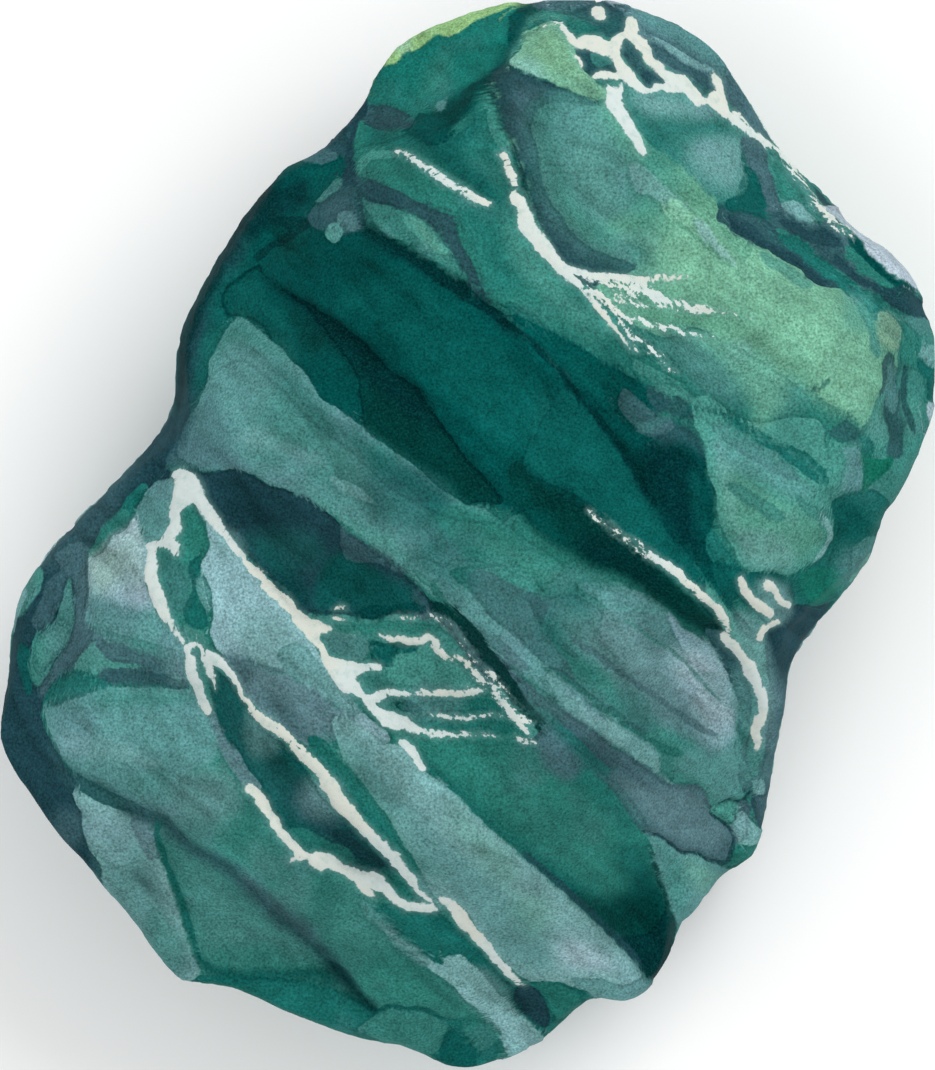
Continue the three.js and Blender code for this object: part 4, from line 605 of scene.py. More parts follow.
deep 1.2 0 0.6  45.8,15 47.8,14 50,12.2 52,10.4 54,8.6 55.4,7 54,7.4 51.6,9.6 49.4,11.6 47,13.4
jade 1 0.1 0.7  57.4,8 60,7.9 62,7.2 61.6,5.6 60,4.6 59.2,5.6 58.6,7
navy 0.8 0.1 1  55.1,7.3 56,7.9 57,7.5 58,6.8 58.8,5.8 59,4.8 58.4,4 57.6,3.8 56.8,4.4 56,5.2 55.2,6.2
haze 0.5 0.1 1  40.6,13.8 42,13.2 43.6,11.9 45.4,10.6 47.2,9.7 47.8,10.4 49.2,10.8 50.6,9.9 52.2,8.3 54,6.6
  55.6,5.2 57,3.8 58.2,2.8 58,1 55,0.6 53.8,2 53.6,3.6 52.4,4.9 50.6,6.2 48.8,7.6 47,8.9 45,10.1 43,11.7
  41.4,13
frost 1.2 0 0.5  49,7.8 52,6.4 54.4,5 56.6,3.2 56,2 54.4,3.4 52.8,5 50.4,6.6
mist 1 0 0.6  40.6,14 43.6,11.8 46,10 45,9.8 42.4,11.6
mist 0.8 0 0.5  38.6,16 40,15.2 41.8,13.6 41,13.2 39.4,14.4
# paler and darker bands over the last ones
haze 1.2 0 0.6  78.4,42.6 80.6,42.4 81.8,40 82.6,37 82.6,33 81.6,30 80.6,33 80.8,36 79.2,39
mist 1.2 0 0.7  78.4,37.6 80.2,36 80.8,33.4 79.4,32 78.2,34
mist 1.2 0 0.6  77,30.4 81,30.6 81.6,27.4 79.6,26.4 77.4,27.6
haze 1.4 0 0.6  81,45.4 84,45 84.2,42.4 81.6,42
deep 2 0 0.5  30,66 33,63.4 36,61 38.4,59.4 41.8,57.6 45,55.6 48,53.6 46,52.6 42,55 38.4,57.2 35,59.2 32,62
  29.4,64.6
leaf 2 0 0.5  72,68.8 76,66.4 80,62.4 81,60.4 84,63 84,68.6 80,69.6 76,69
moss 1.6 0 0.5  90,72 93,72 93,69 90,69
teal 1.6 0 0.5  69,87 72,87 72,84 69,84
deep 1.6 0 0.6  66,21 69,21 69,18 66,18
mist 1.6 0 0.5  27,21.4 30,20 30,18 27,18.6
deep 2 0 0.6  44.4,49.2 47.4,49.8 50.4,47.8 51,45.4 49,44.6 46.4,45.4 44,47
teal 2 0 0.5  60,45.4 63,45 63,42.2 60,42.6
mist 2.4 0 0.6  14,26.6 18,27.8 22,28 25,26.6 25,24 22,22 18.4,21.6 15,23.6
haze 2 0 0.4  19,27.4 23,27.8 25,26 24,24 19,24
steel 1.6 0 0.6  6,24 9,24 9,21.4 6,21
mist 1.8 0 0.5  30,18 33,17.6 33,15 30,15.4
haze 1.8 0 0.5  18,39 20.4,38.6 20.8,36.4 18.6,36.4
mist 1.8 0 0.6  90,48.4 93,48 93,45 90,45.4
mist 2 0 0.5  57,36.4 60,36 60,33 57,33.4
haze 2 0 0.5  33,27 36,27 36,24 33,24.4
mist 1.6 0 0.4  71.6,69 75,67.6 79,63.6 77,62.4 73,65.6
haze 1.2 0 0.5  44.6,18.4 48,17.6 48.4,15.6 45.4,15.2
haze 1.2 0 0.5  50.6,9.4 54,8 54,6 51,6.6
haze 1.6 0 0.45  27,33 30,33 30,30 27,30
mist 1.6 0 0.5  44,36 49,36 49,33 44,33
haze 1.2 0 0.5  23.6,50.4 25.2,50.2 26.2,48.4 25,47.8 23.4,48.6
steel 1.4 0 0.5  24.4,39 27,38.6 27,36.4 24.6,36.4
jade 1.4 0 0.4  60,99 63,98.6 63,96.4 60.4,96.4
teal 1.4 0 0.4  63,98 66,98.4 66,96.4 63.4,96.4
fir 1.4 0 0.35  54,84 57,84 57,81 54,81
""")

# Drying lines and cracks: colour, softness, strength and width in millimetres, then the points along each.
LINES = read_marks("""
night 0.8 0.8 1.1  18.8,62 19.2,66 20.2,69.6 22,73 24,76 26.2,79.4 28.4,82 30.6,84
night 0.8 0.8 1  39,79 40.4,77.6 42.4,76.4 44.6,75.4 47,74 49,72.9 51,71.8 53,70.4 55.4,68.6
night 0.5 0.75 0.6  55.6,68.8 57.4,67.4 59.4,65.6 61.4,63.4 63.4,61.2 65.2,59 66.6,57.2 68.2,55 69.8,52.8
slate 1 0.9 1  13,24.6 15.4,24.1 17.4,23.2 19.4,21.8 21,20.6 22.8,19.8 24.6,18.8 26.4,17.4 28,15.8 30,14.3
  32,12.9 34,11.4 36,9.6 37.6,8
steel 1.4 0.7 1.2  26,18.4 28,16.6 30,15 32,13.6 33.8,12.2
teal 0.5 0.9 0.5  16.9,23.6 16.9,22 17.4,20.6 18.2,18.6 19.2,16.2 20,14 20.8,11.8 21.4,10.2
deep 0.8 0.85 0.8  21,10.6 22.6,9.2 25,8.9 28,8.8 31,8.9 34,8.8 36,8
night 0.9 0.85 0.9  34.6,10 36.4,8.8 37.6,7.4 39,6.2 40.2,5.3
deep 0.6 0.8 0.5  40.2,5.3 42,5.9 44,5.7 46,5.3 47.6,4.4
navy 0.5 0.75 0.55  55.6,20.7 57.6,19.3 59.6,17.8 61.6,16.2 63.6,14.6 65.6,12.8 67.4,11 68.8,9.6
navy 0.25 0.9 0.3  68.6,22.3 70.2,21.9 71.6,21.1 73,20.3 74.6,20.1 76,19.6 77.6,19.4 78.4,20 78.8,21
  78.4,22.2 77.4,23 76.4,23.7 75.7,24.4
navy 0.25 0.85 0.25  76.2,24.9 77.6,25.1 79,25 79.8,25.4 80.2,26.2
steel 0.6 0.6 0.5  60.4,40.6 64,38.6 67.6,36.4 71,34.2 74,32.4 77,31
sea 0.4 0.6 0.3  66,42.4 69,40.8 72,39 74.6,36.6 77,34.4
sea 0.5 0.6 0.35  76.8,60.4 79.6,59.4 82.4,58.6 85,57.4 87.4,55.6 88.2,53.6
deep 0.35 0.6 0.4  89.4,65 87.8,64 86.2,63
fern 0.4 0.7 0.4  71.6,79.6 73.4,78.4 75.2,77.2 77,75.6 78.8,74.4
navy 0.5 0.7 0.5  96.6,66 96.6,63 97,61 97.8,59.4
deep 0.4 0.7 0.35  71.8,60.2 73.4,61.6 75.4,61.6 77.4,61 79,60.4
""")

# Pale veins: how dry each is, from 0 to 1, then the points along it, each with its width in millimetres.
VEINS = read_marks("""
# the two dashes at the upper left
0.4  42.6,85.6,0.4 44,85.1,0.45 45.6,84.3,0.55 47.4,83.2,0.65 49.4,82,0.6 51.2,81.1,0.6 52.3,80.8,0.4
0.05  53.3,85.5,0.3 53.8,85.3,0.5 54.2,84.5,0.5 54.7,83.5,0.5 55.1,82.8,0.35 55.5,82.2,0.15
# the long one under the scoop
0.05  54.9,81.9,0.35 55.1,81.3,0.7 55.7,80.5,0.8 56.1,79.8,0.8 56.2,79,1 56.7,78.2,1 57.4,77.4,0.95
  58.2,76.6,0.9 59,75.7,0.8 59.8,75,0.8 60.7,74.4,0.85
0.15  60.7,74.2,0.6 61.8,73.2,0.45 62.7,72.4,0.35 63.7,71.4,0.4 64.7,70.3,0.4 65.8,69.1,0.4 66.9,68,0.35
  68.1,67.1,0.2
0.9  61.6,74,0.5 62.8,73.1,0.6 64.2,72.1,0.6 65.4,71,0.6 66.4,69.9,0.5 67.6,68.9,0.5 68.6,68.2,0.6
  69.8,67.3,0.5 71,66.2,0.4 72.2,65.2,0.2
0.1  60.8,74.6,0.65 62.6,74.4,0.5 64.4,74.1,0.45 66.4,73.9,0.5 68.2,73.7,0.6 69.6,73.8,0.45 71,73.9,0.35
  72.6,74,0.3 73.6,74,0.08
0.75  62.8,73.8,0.4 64.6,73.4,0.45 66.4,73.2,0.5 68,73.1,0.45
0.8  65.6,72.9,0.3 67,72.9,0.6 68.6,72.6,0.75 70,72.2,0.8 71.6,71.8,0.75 73.2,71.4,0.65 74.8,71.1,0.55
  76.4,70.9,0.4 78.2,70.5,0.3 80.4,70.1,0.15
0.5  64.6,72.1,0.25 66,71.7,0.3 67.8,71.4,0.3 70,71.1,0.25 72,70.9,0.25 75,70.7,0.25 77.6,70.5,0.1
0.7  63.6,72.9,0.3 65,72.4,0.3 66.6,72.2,0.3 68,72.2,0.35
0.85  65.6,71,0.3 66.8,70.3,0.4 68.2,69.7,0.5 69.8,69.3,0.6 71.4,69,0.6 73,68.7,0.5 74.6,68.5,0.4
  76.2,68.6,0.15
# the net at the top
0  63.9,98.8,0.85 64,98.6,0.85
0.5  58.1,97.3,0.25 59,97.6,0.35 59.9,97.6,0.3 60.4,97.1,0.35
0.05  60,97.6,0.25 60.4,97,0.35 60.9,96.3,0.45 61.5,95.6,0.5 62.2,95.7,0.55 62.9,95.9,0.75 63.6,95.8,0.9
  64.4,95.5,0.85 65.2,95.3,0.9 65.9,95.8,0.7 66.6,96.4,0.55 67.3,96.7,0.6
0  67.5,97.9,0.75 67.5,97.2,0.75 67.6,96.6,0.7
0.1  67.6,96.7,0.7 68.4,95.9,0.65 69,95,0.65 69.4,94.1,0.7 70.2,93.7,0.5 71,93,0.6 71.8,92.4,0.9
  72.3,92.1,1.15 73.2,91.8,1 74,91.2,0.9 74.4,90.6,0.75 75.2,90.35,0.5 75.9,90.6,0.7 76.5,90.3,0.85
  77.1,89.8,0.85 77.6,89.2,0.7
0  65.4,95.3,0.65 65.9,94.4,0.6 66.4,93.7,0.7 66.9,93,0.75 67.5,92.3,0.7 68.1,91.8,0.6 68.7,91.5,0.5
0.05  61.5,94.3,0.2 61.8,94,0.3 62.1,93.6,0.2
0.05  63.5,92.6,0.3 64.1,92.7,0.5 64.8,92.8,0.55 65.6,92.7,0.45 66.4,92.9,0.55 67.4,92.2,0.65 68.3,91.6,0.6
  68.9,91.4,0.45 69.6,91.4,0.35 70.3,91.6,0.6 71,91.5,0.5 71.7,91.6,0.7 72.6,91.7,0.9
0.05  76.1,93.3,0.12 76.4,92.8,0.4 76.7,92.3,0.6 76.9,91.7,0.55 77,91.1,0.65 77.1,90.4,0.8 77.3,89.7,0.8
0  75.5,90.6,0.4 76.1,91.1,0.35 76.8,91.2,0.35
0.4  78,89.2,0.25 78.6,89.3,0.35 79.2,88.7,0.3 80,88,0.2
0.3  77.5,89.3,0.7 78.3,88.7,0.55 79.1,88.2,0.55 80,87.7,0.5 81,87.1,0.5 82.2,86.3,0.5
0.75  82.2,86.4,0.55 83.4,85.3,0.6 84.6,83.8,0.5 85.8,82.6,0.5 87,81,0.45 88.2,79.6,0.45 89.8,78.4,0.4
  91,77.8,0.3
0.05  66.2,91.9,0.2 66,91.4,0.4 65.6,90.8,0.85
0  64.8,91.5,0.35 65.3,91.2,0.6 65.3,90.5,0.9 65.9,89.6,0.9 66.3,89,0.8 66.9,88.3,0.75 67.6,87.3,0.72
  68.2,86.3,0.58 68.6,85.6,0.45
# the long one at the left, with its prongs
0  19.1,55.5,0.5 19.7,55.6,0.75 20.3,55.3,0.9 20.6,54.6,1.15 21,53.9,1 21.6,53.1,0.75 22.2,52.4,0.6
0.15  21.6,52.9,0.7 23,51.3,0.62 24.6,49.7,0.6 26.2,47.9,0.58
0.55  26,48.1,0.58 27,47,0.64 28,46,0.7 29.6,44.6,0.75 30.4,43.9,0.75
0.1  30.2,44.1,0.72 31,43.4,0.8 32,42.3,0.85
0  31.8,42.4,0.85 32.8,41.6,0.95 33.5,40.9,0.95 33.8,40.2,0.6 34.4,39.4,0.48 35,38.5,0.6 35.8,37.8,0.9
  36.5,37.1,1.25 37,36.5,1.1 37.7,35.8,0.75 38.6,35.2,0.5 39.3,34.7,0.4
0  33.2,41.5,0.9 34.2,41.3,0.7 35,41.15,0.45 35.6,41.1,0.2
0  36.6,37.4,1.1 37.8,37.4,0.9 38.8,37.6,0.6 39.8,37.8,0.5 40.7,37.8,0.35
0  37.4,36.2,0.5 38.2,36.2,0.3
0  39.4,34.6,0.55 40.4,34.9,0.5 41.2,35.2,0.55 42.2,35.4,0.45
0  39.4,34.4,0.55 40.3,33.6,0.7 41.4,32.9,0.9 42.4,32.7,0.95 43.4,32.5,0.75 44,32.1,0.65 44.8,31.7,0.45
0.35  42,35.4,0.4 44,35.2,0.4 45.4,35.3,0.5 47,35.3,0.55 49,35.35,0.5 51,35.6,0.4 52,35.6,0.2
0.45  45.5,33.6,0.1 46,33.4,0.4 47,33.15,0.42 49,33,0.45 51,33.1,0.4 53,33.2,0.28 53.8,33.3,0.12
0.45  44.6,31.8,0.42 46,31.5,0.48 48,31.4,0.48 50,31.4,0.4 52,31.4,0.25 53.3,31.3,0.12
0  43.2,30.7,0.5 43.8,30.3,0.62 44.5,29.5,0.6 45.1,28.6,0.5 45.3,28.2,0.3
# the left loop
0  20.3,54.6,1.3 19.9,53.6,1.1 19.3,52.7,0.75 19,51.8,0.65 18.9,51,0.62 18.7,50.4,0.75 18.4,49.8,0.8
0  16.3,48.9,0.5 17.2,49,0.45 18.2,49.1,0.6 18.8,48.8,0.65 19,48.3,0.4
0  16.4,48.9,0.5 16.3,48,0.5 16.3,47,0.62 16.3,46,0.72 16.7,45,0.76 17.1,44,0.76 17.5,43,0.66 18,42.2,0.5
  18.7,41.4,0.32 19.3,40.8,0.28 19.8,40.1,0.25
# the lower left pair
0.1  20,39.7,0.35 20.4,38.4,0.62 20.8,37.2,0.72 21.2,36,0.75 21.6,35,0.66 22,34.2,0.66 22.3,33.6,0.5
0.15  20,39.7,0.3 20.6,39.8,0.3 21.4,39.6,0.3 22,39.2,0.4 22.6,38.8,0.6 23.2,38.4,0.75 23.8,38,0.75
  24.4,37.5,0.6 25,36.8,0.5 25.6,35.8,0.4 26.4,34.6,0.4 26.9,33.9,0.4
0.2  22,38.5,0.5 22.4,37.6,0.45 22.8,36.6,0.3 23.2,35.6,0.12
0.2  20.2,41.3,0.2 20.6,41,0.2 21.2,40.8,0.15 21.8,40.4,0.12
0.55  26.8,33.8,0.5 28,33,0.9 29.6,32,0.85 31.2,30.8,0.75 32.8,29.4,0.75 34,28.4,0.9 35.2,27,0.95
0.15  35.2,27,0.95 36.4,25.4,0.95 37.6,24,0.85 39,22.6,0.7 40.6,21.4,0.7 42.2,19.9,0.7 43.6,18.4,0.6
  44.8,17,0.5 45.8,16,0.4 46.8,15.3,0.2
0.05  26.6,26.4,0.6 27.6,25.8,0.7 28.8,24.2,0.6 30,22.6,0.6 31.4,21.2,0.5 32.8,20.2,0.5 34.2,19.9,0.85
  35.8,19.3,0.75 37.4,18.6,0.6 38.8,18,0.85 40.2,17.8,0.85 41.4,16.8,0.6 42.6,15.8,0.45 44,15.3,0.6
  45.6,15.4,0.4 46.8,15.3,0.2
0.05  31,19.8,0.3 32.4,20,0.4
0.05  33.4,19.4,0.35 34.6,18.9,0.25
0  38.4,17.8,0.6 39.4,16.8,0.5 40,16.2,0.2
0.05  47.2,16.2,0.4 48.4,15.6,0.7 49.6,14.2,0.75 51,12.6,0.7 52.6,11,0.6 54,9.6,0.5 55.2,8.5,0.4 56,7.8,0.25
# the right one
0.3  62.9,52.3,0.25 63.1,52,0.2
0.75  63,52.2,0.3 64.2,51.6,0.35 65.4,50.9,0.3
0.9  63,51.8,0.25 64.4,50.8,0.25 66,49.7,0.25 67.6,48.7,0.25 69,47.8,0.3
0.5  65.3,51.1,0.2 66.1,50.5,0.35 66.8,50,0.3 68,49.4,0.35 69.2,48.6,0.4 70,48.1,0.4
0.4  69.4,48,0.5 70.4,47.5,0.65 71.4,47,0.75 72.4,46.4,0.65 73.4,45.6,0.55 74.4,44.9,0.6
0.3  74.4,44.9,0.55 75.6,43.8,0.6 76.8,42.7,0.6 77.6,41.7,0.4 77.9,41,0.35
0.05  77.2,40.9,0.3 77.8,40.2,0.7 79.2,38.8,0.6 80.2,37.2,0.8 81,35.8,0.75 81.5,34.4,0.6 81.3,33.2,0.55
  80.8,32,0.75 80.9,30.8,0.55 81,30.4,0.2
0  79.1,46,0.2 79.4,45.3,0.45 80.2,44.2,0.5 81.2,43.4,0.6 82.1,43,0.55
0  81.7,45.2,0.45 82.2,45.3,0.65 82.9,44.6,0.4 83.3,44,0.45 83.9,43.6,0.45
0  82.9,42.2,0.4 82.2,41.7,0.5 81.4,41.3,0.55 80.9,40.5,0.4
# the faint dry arc
0.3  35.9,43.2,0.25 36.4,43.3,0.3 36.9,43.1,0.2
0.1  35.9,42.2,0.35 36.4,42.1,0.25 37,42,0.12
0.6  36.9,40.7,0.18 38.2,40.7,0.18
0.3  42,42.4,0.1 43.2,42.4,0.22 44,42.2,0.3 44.3,42.2,0.2
0.85  44.8,42.4,0.3 46.4,42.4,0.3 48,41.6,0.35 49,40.6,0.4 49.6,39.8,0.4 51,38.2,0.5
0.05  40.5,40.7,0.1 41.6,40.5,0.28 42.6,40.3,0.38 43.6,40.15,0.5 44.8,40.2,0.5 45.8,40.4,0.5 46.4,40.3,0.4
0.6  46.4,40.2,0.45 47,39.4,0.6 47.8,38.8,0.55 48.1,38.6,0.3
0.45  48,39,0.2 48.8,38.7,0.35 49.8,38.4,0.25
0.9  50,37.8,0.7 51,37,0.8 51.8,36.4,0.7
0.95  52,37.2,0.5 52.8,36.4,0.6 53.2,35.8,0.5
0.7  52.6,35.8,0.5 53.4,34.8,0.7 54.4,33.6,0.75 55.4,32.6,0.6 56.4,31.7,0.3
0.75  53,36.3,0.3 54,35.1,0.35 55,33.8,0.35 56.2,32.9,0.35 57,32.4,0.25
0.5  55.2,31.1,0.25 56,30.9,0.5 57.2,30.6,0.2
""")

# ---- plan noise, curves and distances: everything in millimetres, in numpy ----

COLUMN_PRIME, ROW_PRIME, SEED_PRIME, LAST_PRIME = 374761393, 668265263, 2147483647, 1274126177
WORD = 0xFFFFFFFF
HALF_WORD = 0xFFFF
SECOND_WAY = 9  # what is added to the seed of the noises that move points the other way
TINY = 1e-9  # keeps a piece with no length from dividing by nothing


def hashed(column, row, seed):
    """A repeatable random value from 0 to 1 for each lattice corner."""
    mixed = (column * COLUMN_PRIME + row * ROW_PRIME + seed * SEED_PRIME) & WORD
    mixed = ((mixed ^ (mixed >> 13)) * LAST_PRIME) & WORD
    return ((mixed ^ (mixed >> 16)) & HALF_WORD) / HALF_WORD


def eased(share):
    """A share from 0 to 1, made to start and stop smoothly."""
    return share * share * (3 - 2 * share)


def noise(x, y, feature, seed):
    """Smooth noise from -0.5 to 0.5, with features of that size."""
    column = np.floor(x / feature).astype(np.int64)
    row = np.floor(y / feature).astype(np.int64)
    right = eased(x / feature - column)
    up = eased(y / feature - row)
    near = hashed(column, row, seed) * (1 - right) + hashed(column + 1, row, seed) * right
    far = hashed(column, row + 1, seed) * (1 - right) + hashed(column + 1, row + 1, seed) * right
    return near * (1 - up) + far * up - 0.5


def layered(x, y, *layers):
    """A sum of noises, each given as its strength, the size of its features and its seed."""
    return sum(strength * noise(x, y, feature, seed) for strength, feature, seed in layers)


def ramp(value, start, end):
    """0 before start, 1 after end, and a smooth climb between."""
    return eased(np.clip((value - start) / (end - start), 0, 1))


def bump(value, top, width):
    """1 where the value is at the top, and less and less away from it."""
    return np.exp(-(((value - top) / width) ** 2))


def in_mm(points):
    """Points in percent as millimetres, with any further columns kept."""
    rows = np.array(points)
    rows[:, 0] = (low.x + size.x * rows[:, 0] / 100) / MM
    rows[:, 1] = (low.y + size.y * rows[:, 1] / 100) / MM
    return rows


def curve(rows, closed, pieces):
    """A Catmull-Rom curve through the rows, as that many straight pieces from each row to the next."""
    if closed:
        ends = np.vstack([rows[-1:], rows, rows[:2]])
    else:
        ends = np.vstack([2 * rows[:1] - rows[1:2], rows, 2 * rows[-1:] - rows[-2:-1]])
    a, b, c, d = ends[:-3], ends[1:-2], ends[2:-1], ends[3:]
    steps = [
        b + 0.5 * ((c - a) * t + (2 * a - 5 * b + 4 * c - d) * t * t + (3 * b - a - 3 * c + d) * t**3)
        for t in np.arange(pieces) / pieces
    ]
    smooth = np.stack(steps, axis=1).reshape(-1, rows.shape[1])
    return smooth if closed else np.vstack([smooth, rows[-1:]])


def beside(x, y, start, end):
    """How far points are from a straight piece, and the nearest place along it, from 0 to 1."""
    along = end[:2] - start[:2]
    share = ((x - start[0]) * along[0] + (y - start[1]) * along[1]) / max(along @ along, TINY)
    share = np.clip(share, 0, 1)
    return np.hypot(x - start[0] - share * along[0], y - start[1] - share * along[1]), share


def depth_in_outline(x, y, outline):
    """How far points are inside a closed outline; negative outside it."""
    nearest = np.full(x.shape, np.inf)
    inside = np.zeros(x.shape, bool)
    for start, end in zip(outline, np.roll(outline, -1, axis=0)):
        nearest = np.minimum(nearest, beside(x, y, start, end)[0])
        rise = end[1] - start[1]
        if rise:
            meets = start[0] + (y - start[1]) * (end[0] - start[0]) / rise
            inside ^= ((start[1] > y) != (end[1] > y)) & (x < meets)
    return np.where(inside, nearest, -nearest)


def depth_in_stroke(x, y, path):
    """How far points are inside a stroke, whose rows are x, y and width; negative outside it."""
    deepest = np.full(x.shape, -np.inf)
    for start, end in zip(path[:-1], path[1:]):
        distance, share = beside(x, y, start, end)
        deepest = np.maximum(deepest, (start[2] + (end[2] - start[2]) * share) / 2 - distance)
    return deepest


def around(x, y, rows, reach):
    """The numbers of the points that are within reach of the rows' own box."""
    across = (x > rows[:, 0].min() - reach) & (x < rows[:, 0].max() + reach)
    along = (y > rows[:, 1].min() - reach) & (y < rows[:, 1].max() + reach)
    return np.flatnonzero(across & along)


def along_grain(x, y, bearing):
    """Places turned to the grain: how far along it and how far across it they are."""
    return x * np.cos(bearing) + y * np.sin(bearing), y * np.cos(bearing) - x * np.sin(bearing)


def wandered(x, y, sizes, seed):
    """The points moved about by noise, so that an edge drawn through them is ragged."""
    across = layered(x, y, *((reach, feature, seed + i) for i, (feature, reach) in enumerate(sizes)))
    seed += SECOND_WAY
    along = layered(x, y, *((reach, feature, seed + i) for i, (feature, reach) in enumerate(sizes)))
    return x + across, y + along


# ---- colours ----


def linear(code):
    """A colour written as #rrggbb, as linear light, by the curve that screens use."""
    value = np.array([int(code[i : i + 2], 16) for i in (1, 3, 5)]) / 255
    return np.where(value <= 0.04045, value / 12.92, ((value + 0.055) / 1.055) ** 2.4)


COLOURS = {name: linear(code) for name, code in PALETTE.items()}
COOL_TINT = np.array([0.62, 1.05, 1.2])  # what slate patches keep of the light, in red, green and blue
BRIGHTNESS = np.array([0.2126, 0.7152, 0.0722])  # what red, green and blue count in how light a colour is
SCREEN_GAMMA = 2.2

# ---- the marks as fields over the plan: sizes, depths and widths in millimetres ----

EDGE_WANDER = [(1.3, 0.28), (0.55, 0.16)]  # size of the wander's features, then its reach
EDGE_SEED = 1
SOFT_WANDER = 0.25  # a wash's edge wanders by this much of its softness as well
SOFT_NOISE = (1, 3, 5)  # as all noises here: its strength, the size of its features and its seed
CURVE_PIECES = 6  # straight pieces from one point of an outline or line to the next
EDGE_REACH = 1.0  # how far from a crisp edge points keep their distance from it
SHARP = 0.05  # half the width over which a crisp edge changes colour when it is painted over
LATER_WINS = 0.06  # where two crisp edges are this close together, the later one is drawn
CRISP = 1  # a wash is drawn with a crisp edge if its own is no softer than this
CRISP_LINE = 0.7  # and a line if its edge is less soft than this
LINE_TIP = 0.25  # the share of its width that a line has at its ends
LINE_TAPER = 4  # with each piece from there it gains one part in this many, up to all of it
DRIED_FADE = (0.25, 0.55)  # between these distances from a crisp edge its dried pigment ends
BEYOND_FADE = (0.28, 0.6)  # and the colour beyond the edge is forgotten
GROOVE_DEPTH, GROOVE_PLACE, GROOVE_WIDTH = 0.3, 0.22, 0.3  # the groove just inside a dried edge
LINE_DEPTH = 0.18  # how deep the groove of a line of full strength is
LINE_SPREAD = 0.1  # how far beyond its width a line still shows

GRAIN_BEARING = radians(-42)
SWEEP = 3  # the clouds along the grain are this many times as long as wide
BROAD_CLOUD, FINE_CLOUD, SWEPT_CLOUD = (0.16, 2.6, 71), (0.16, 1.1, 72), (0.26, 0.9, 73)
SLATE_NOISE = [(1, 4.5, 74), (0.6, 1.7, 75)]
SLATE_FROM = (0.12, 0.5)  # patches start where the noise is the first, and are full where it is the second
SLATE_LIGHT = (0.06, 0.2)  # colours darker than the first keep their hue in the patches
SLATE_STRENGTH = 0.3
DIMMEST = 0.4  # no cloud or step leaves less than this share of the light

STEP_COUNT = 420
STEP_SEED = 7
STEP_TURN = 0.22  # how far the steps turn off the grain, in radians
STEP_REACH = (1.5, 7)  # half a step's length
STEP_TAPER = 0.5  # this share of it tapers off at each end
STEP_FADE = (0.35, 2)  # how far a step takes to fade out on its gentle side
STEP_STRENGTH = (-0.3, 0.2)  # the share of light that it takes or adds
STEP_BEND = 0.035  # how strongly a step bends, as the height of its curve a millimetre along it
STEP_EDGE = (-0.1, 0.12)  # its crisp side, across the step
STEP_BAND = (-0.2, 4)  # what it touches at all: from here, and to this many fades from its crisp side
STEP_DROP = 0.5  # how far a step of full strength is carved in

VEIN_WANDER = [(0.9, 0.3), (0.4, 0.2)]
VEIN_SEED = 11
VEIN_GAIN = 1.3  # veins are this much wider than their marks
VEIN_PIECES = 4
VEIN_REACH = 2.5  # how far from a vein points keep their distance from it
FAR_OUTSIDE = -3.0  # the depth of a point that is nowhere near a vein


def shown(outer, inner, edge, width=SHARP):
    """The colour seen at each point, from the two colours at the crisp edge nearest to it."""
    return outer + (inner - outer) * ramp(edge, -width, width)[:, None]


class Paint:
    """The marks laid so far at a set of plan points.

    Every point keeps two colours, outside and inside the nearest crisp edge, and how far inside that edge it
    is. The material draws the edge itself from these, so it is sharper than the mesh.
    """

    def __init__(self, count):
        self.outer = np.tile(COLOURS["jade"], (count, 1))
        self.inner = self.outer.copy()
        self.edge = np.full(count, -EDGE_REACH)
        self.dried = np.zeros(count)
        self.carved = np.zeros(count)

    def soften(self, which, colour, cover):
        """Lays a colour with no crisp edge over the points in which."""
        for layer in (self.outer, self.inner):
            layer[which] += (colour - layer[which]) * cover[:, None]

    def cut(self, which, colour, strength, depth, dried):
        """Lays a colour with a crisp edge over the points in which."""
        before = np.abs(self.edge[which])
        nearer = np.abs(depth) < np.minimum(before + LATER_WINS, EDGE_REACH)
        filled = which[~nearer & (depth > 0)]
        self.soften(filled, colour, np.full(len(filled), strength))
        far = before >= EDGE_REACH
        self.edge[which[far]] = np.where(depth[far] > 0, EDGE_REACH, -EDGE_REACH)
        close = which[nearer]
        under = shown(self.outer[close], self.inner[close], self.edge[close])
        self.outer[close] = under
        self.inner[close] = under + (colour - under) * strength
        self.edge[close] = depth[nearer]
        self.dried[close] = dried

    def settle(self):
        """Puts the darker colour inside each crisp edge, and lets the one beyond the edge die out."""
        turned = self.inner @ BRIGHTNESS > self.outer @ BRIGHTNESS
        darker = np.where(turned[:, None], self.outer, self.inner)
        self.outer = np.where(turned[:, None], self.inner, self.outer)
        self.inner = darker
        self.edge = np.where(turned, -self.edge, self.edge)
        self.dried *= 1 - ramp(np.abs(self.edge), *DRIED_FADE)
        beyond = ramp(np.abs(self.edge), *BEYOND_FADE)[:, None]
        outside = (self.edge < 0)[:, None]
        step = self.outer - self.inner
        self.inner += np.where(outside, step * beyond, 0)
        self.outer -= np.where(outside, 0, step * beyond)

    def weather(self, x, y, wx, wy):
        """Clouds the colours, paints the steps' shade and light along the grain and turns patches to slate.
        """
        shade, drop = fractured(wx, wy)
        self.carved += drop
        along, across = along_grain(wx, wy, GRAIN_BEARING)
        cloud = layered(wx, wy, BROAD_CLOUD, FINE_CLOUD) + layered(along / SWEEP, across, SWEPT_CLOUD)
        cool = SLATE_STRENGTH * ramp(layered(x, y, *SLATE_NOISE), *SLATE_FROM)
        for layer in (self.outer, self.inner):
            layer *= np.maximum(DIMMEST, 1 + shade + cloud)[:, None]
            grey = (layer @ BRIGHTNESS)[:, None] * COOL_TINT
            layer += (grey - layer) * (cool * ramp(layer @ BRIGHTNESS, *SLATE_LIGHT))[:, None]


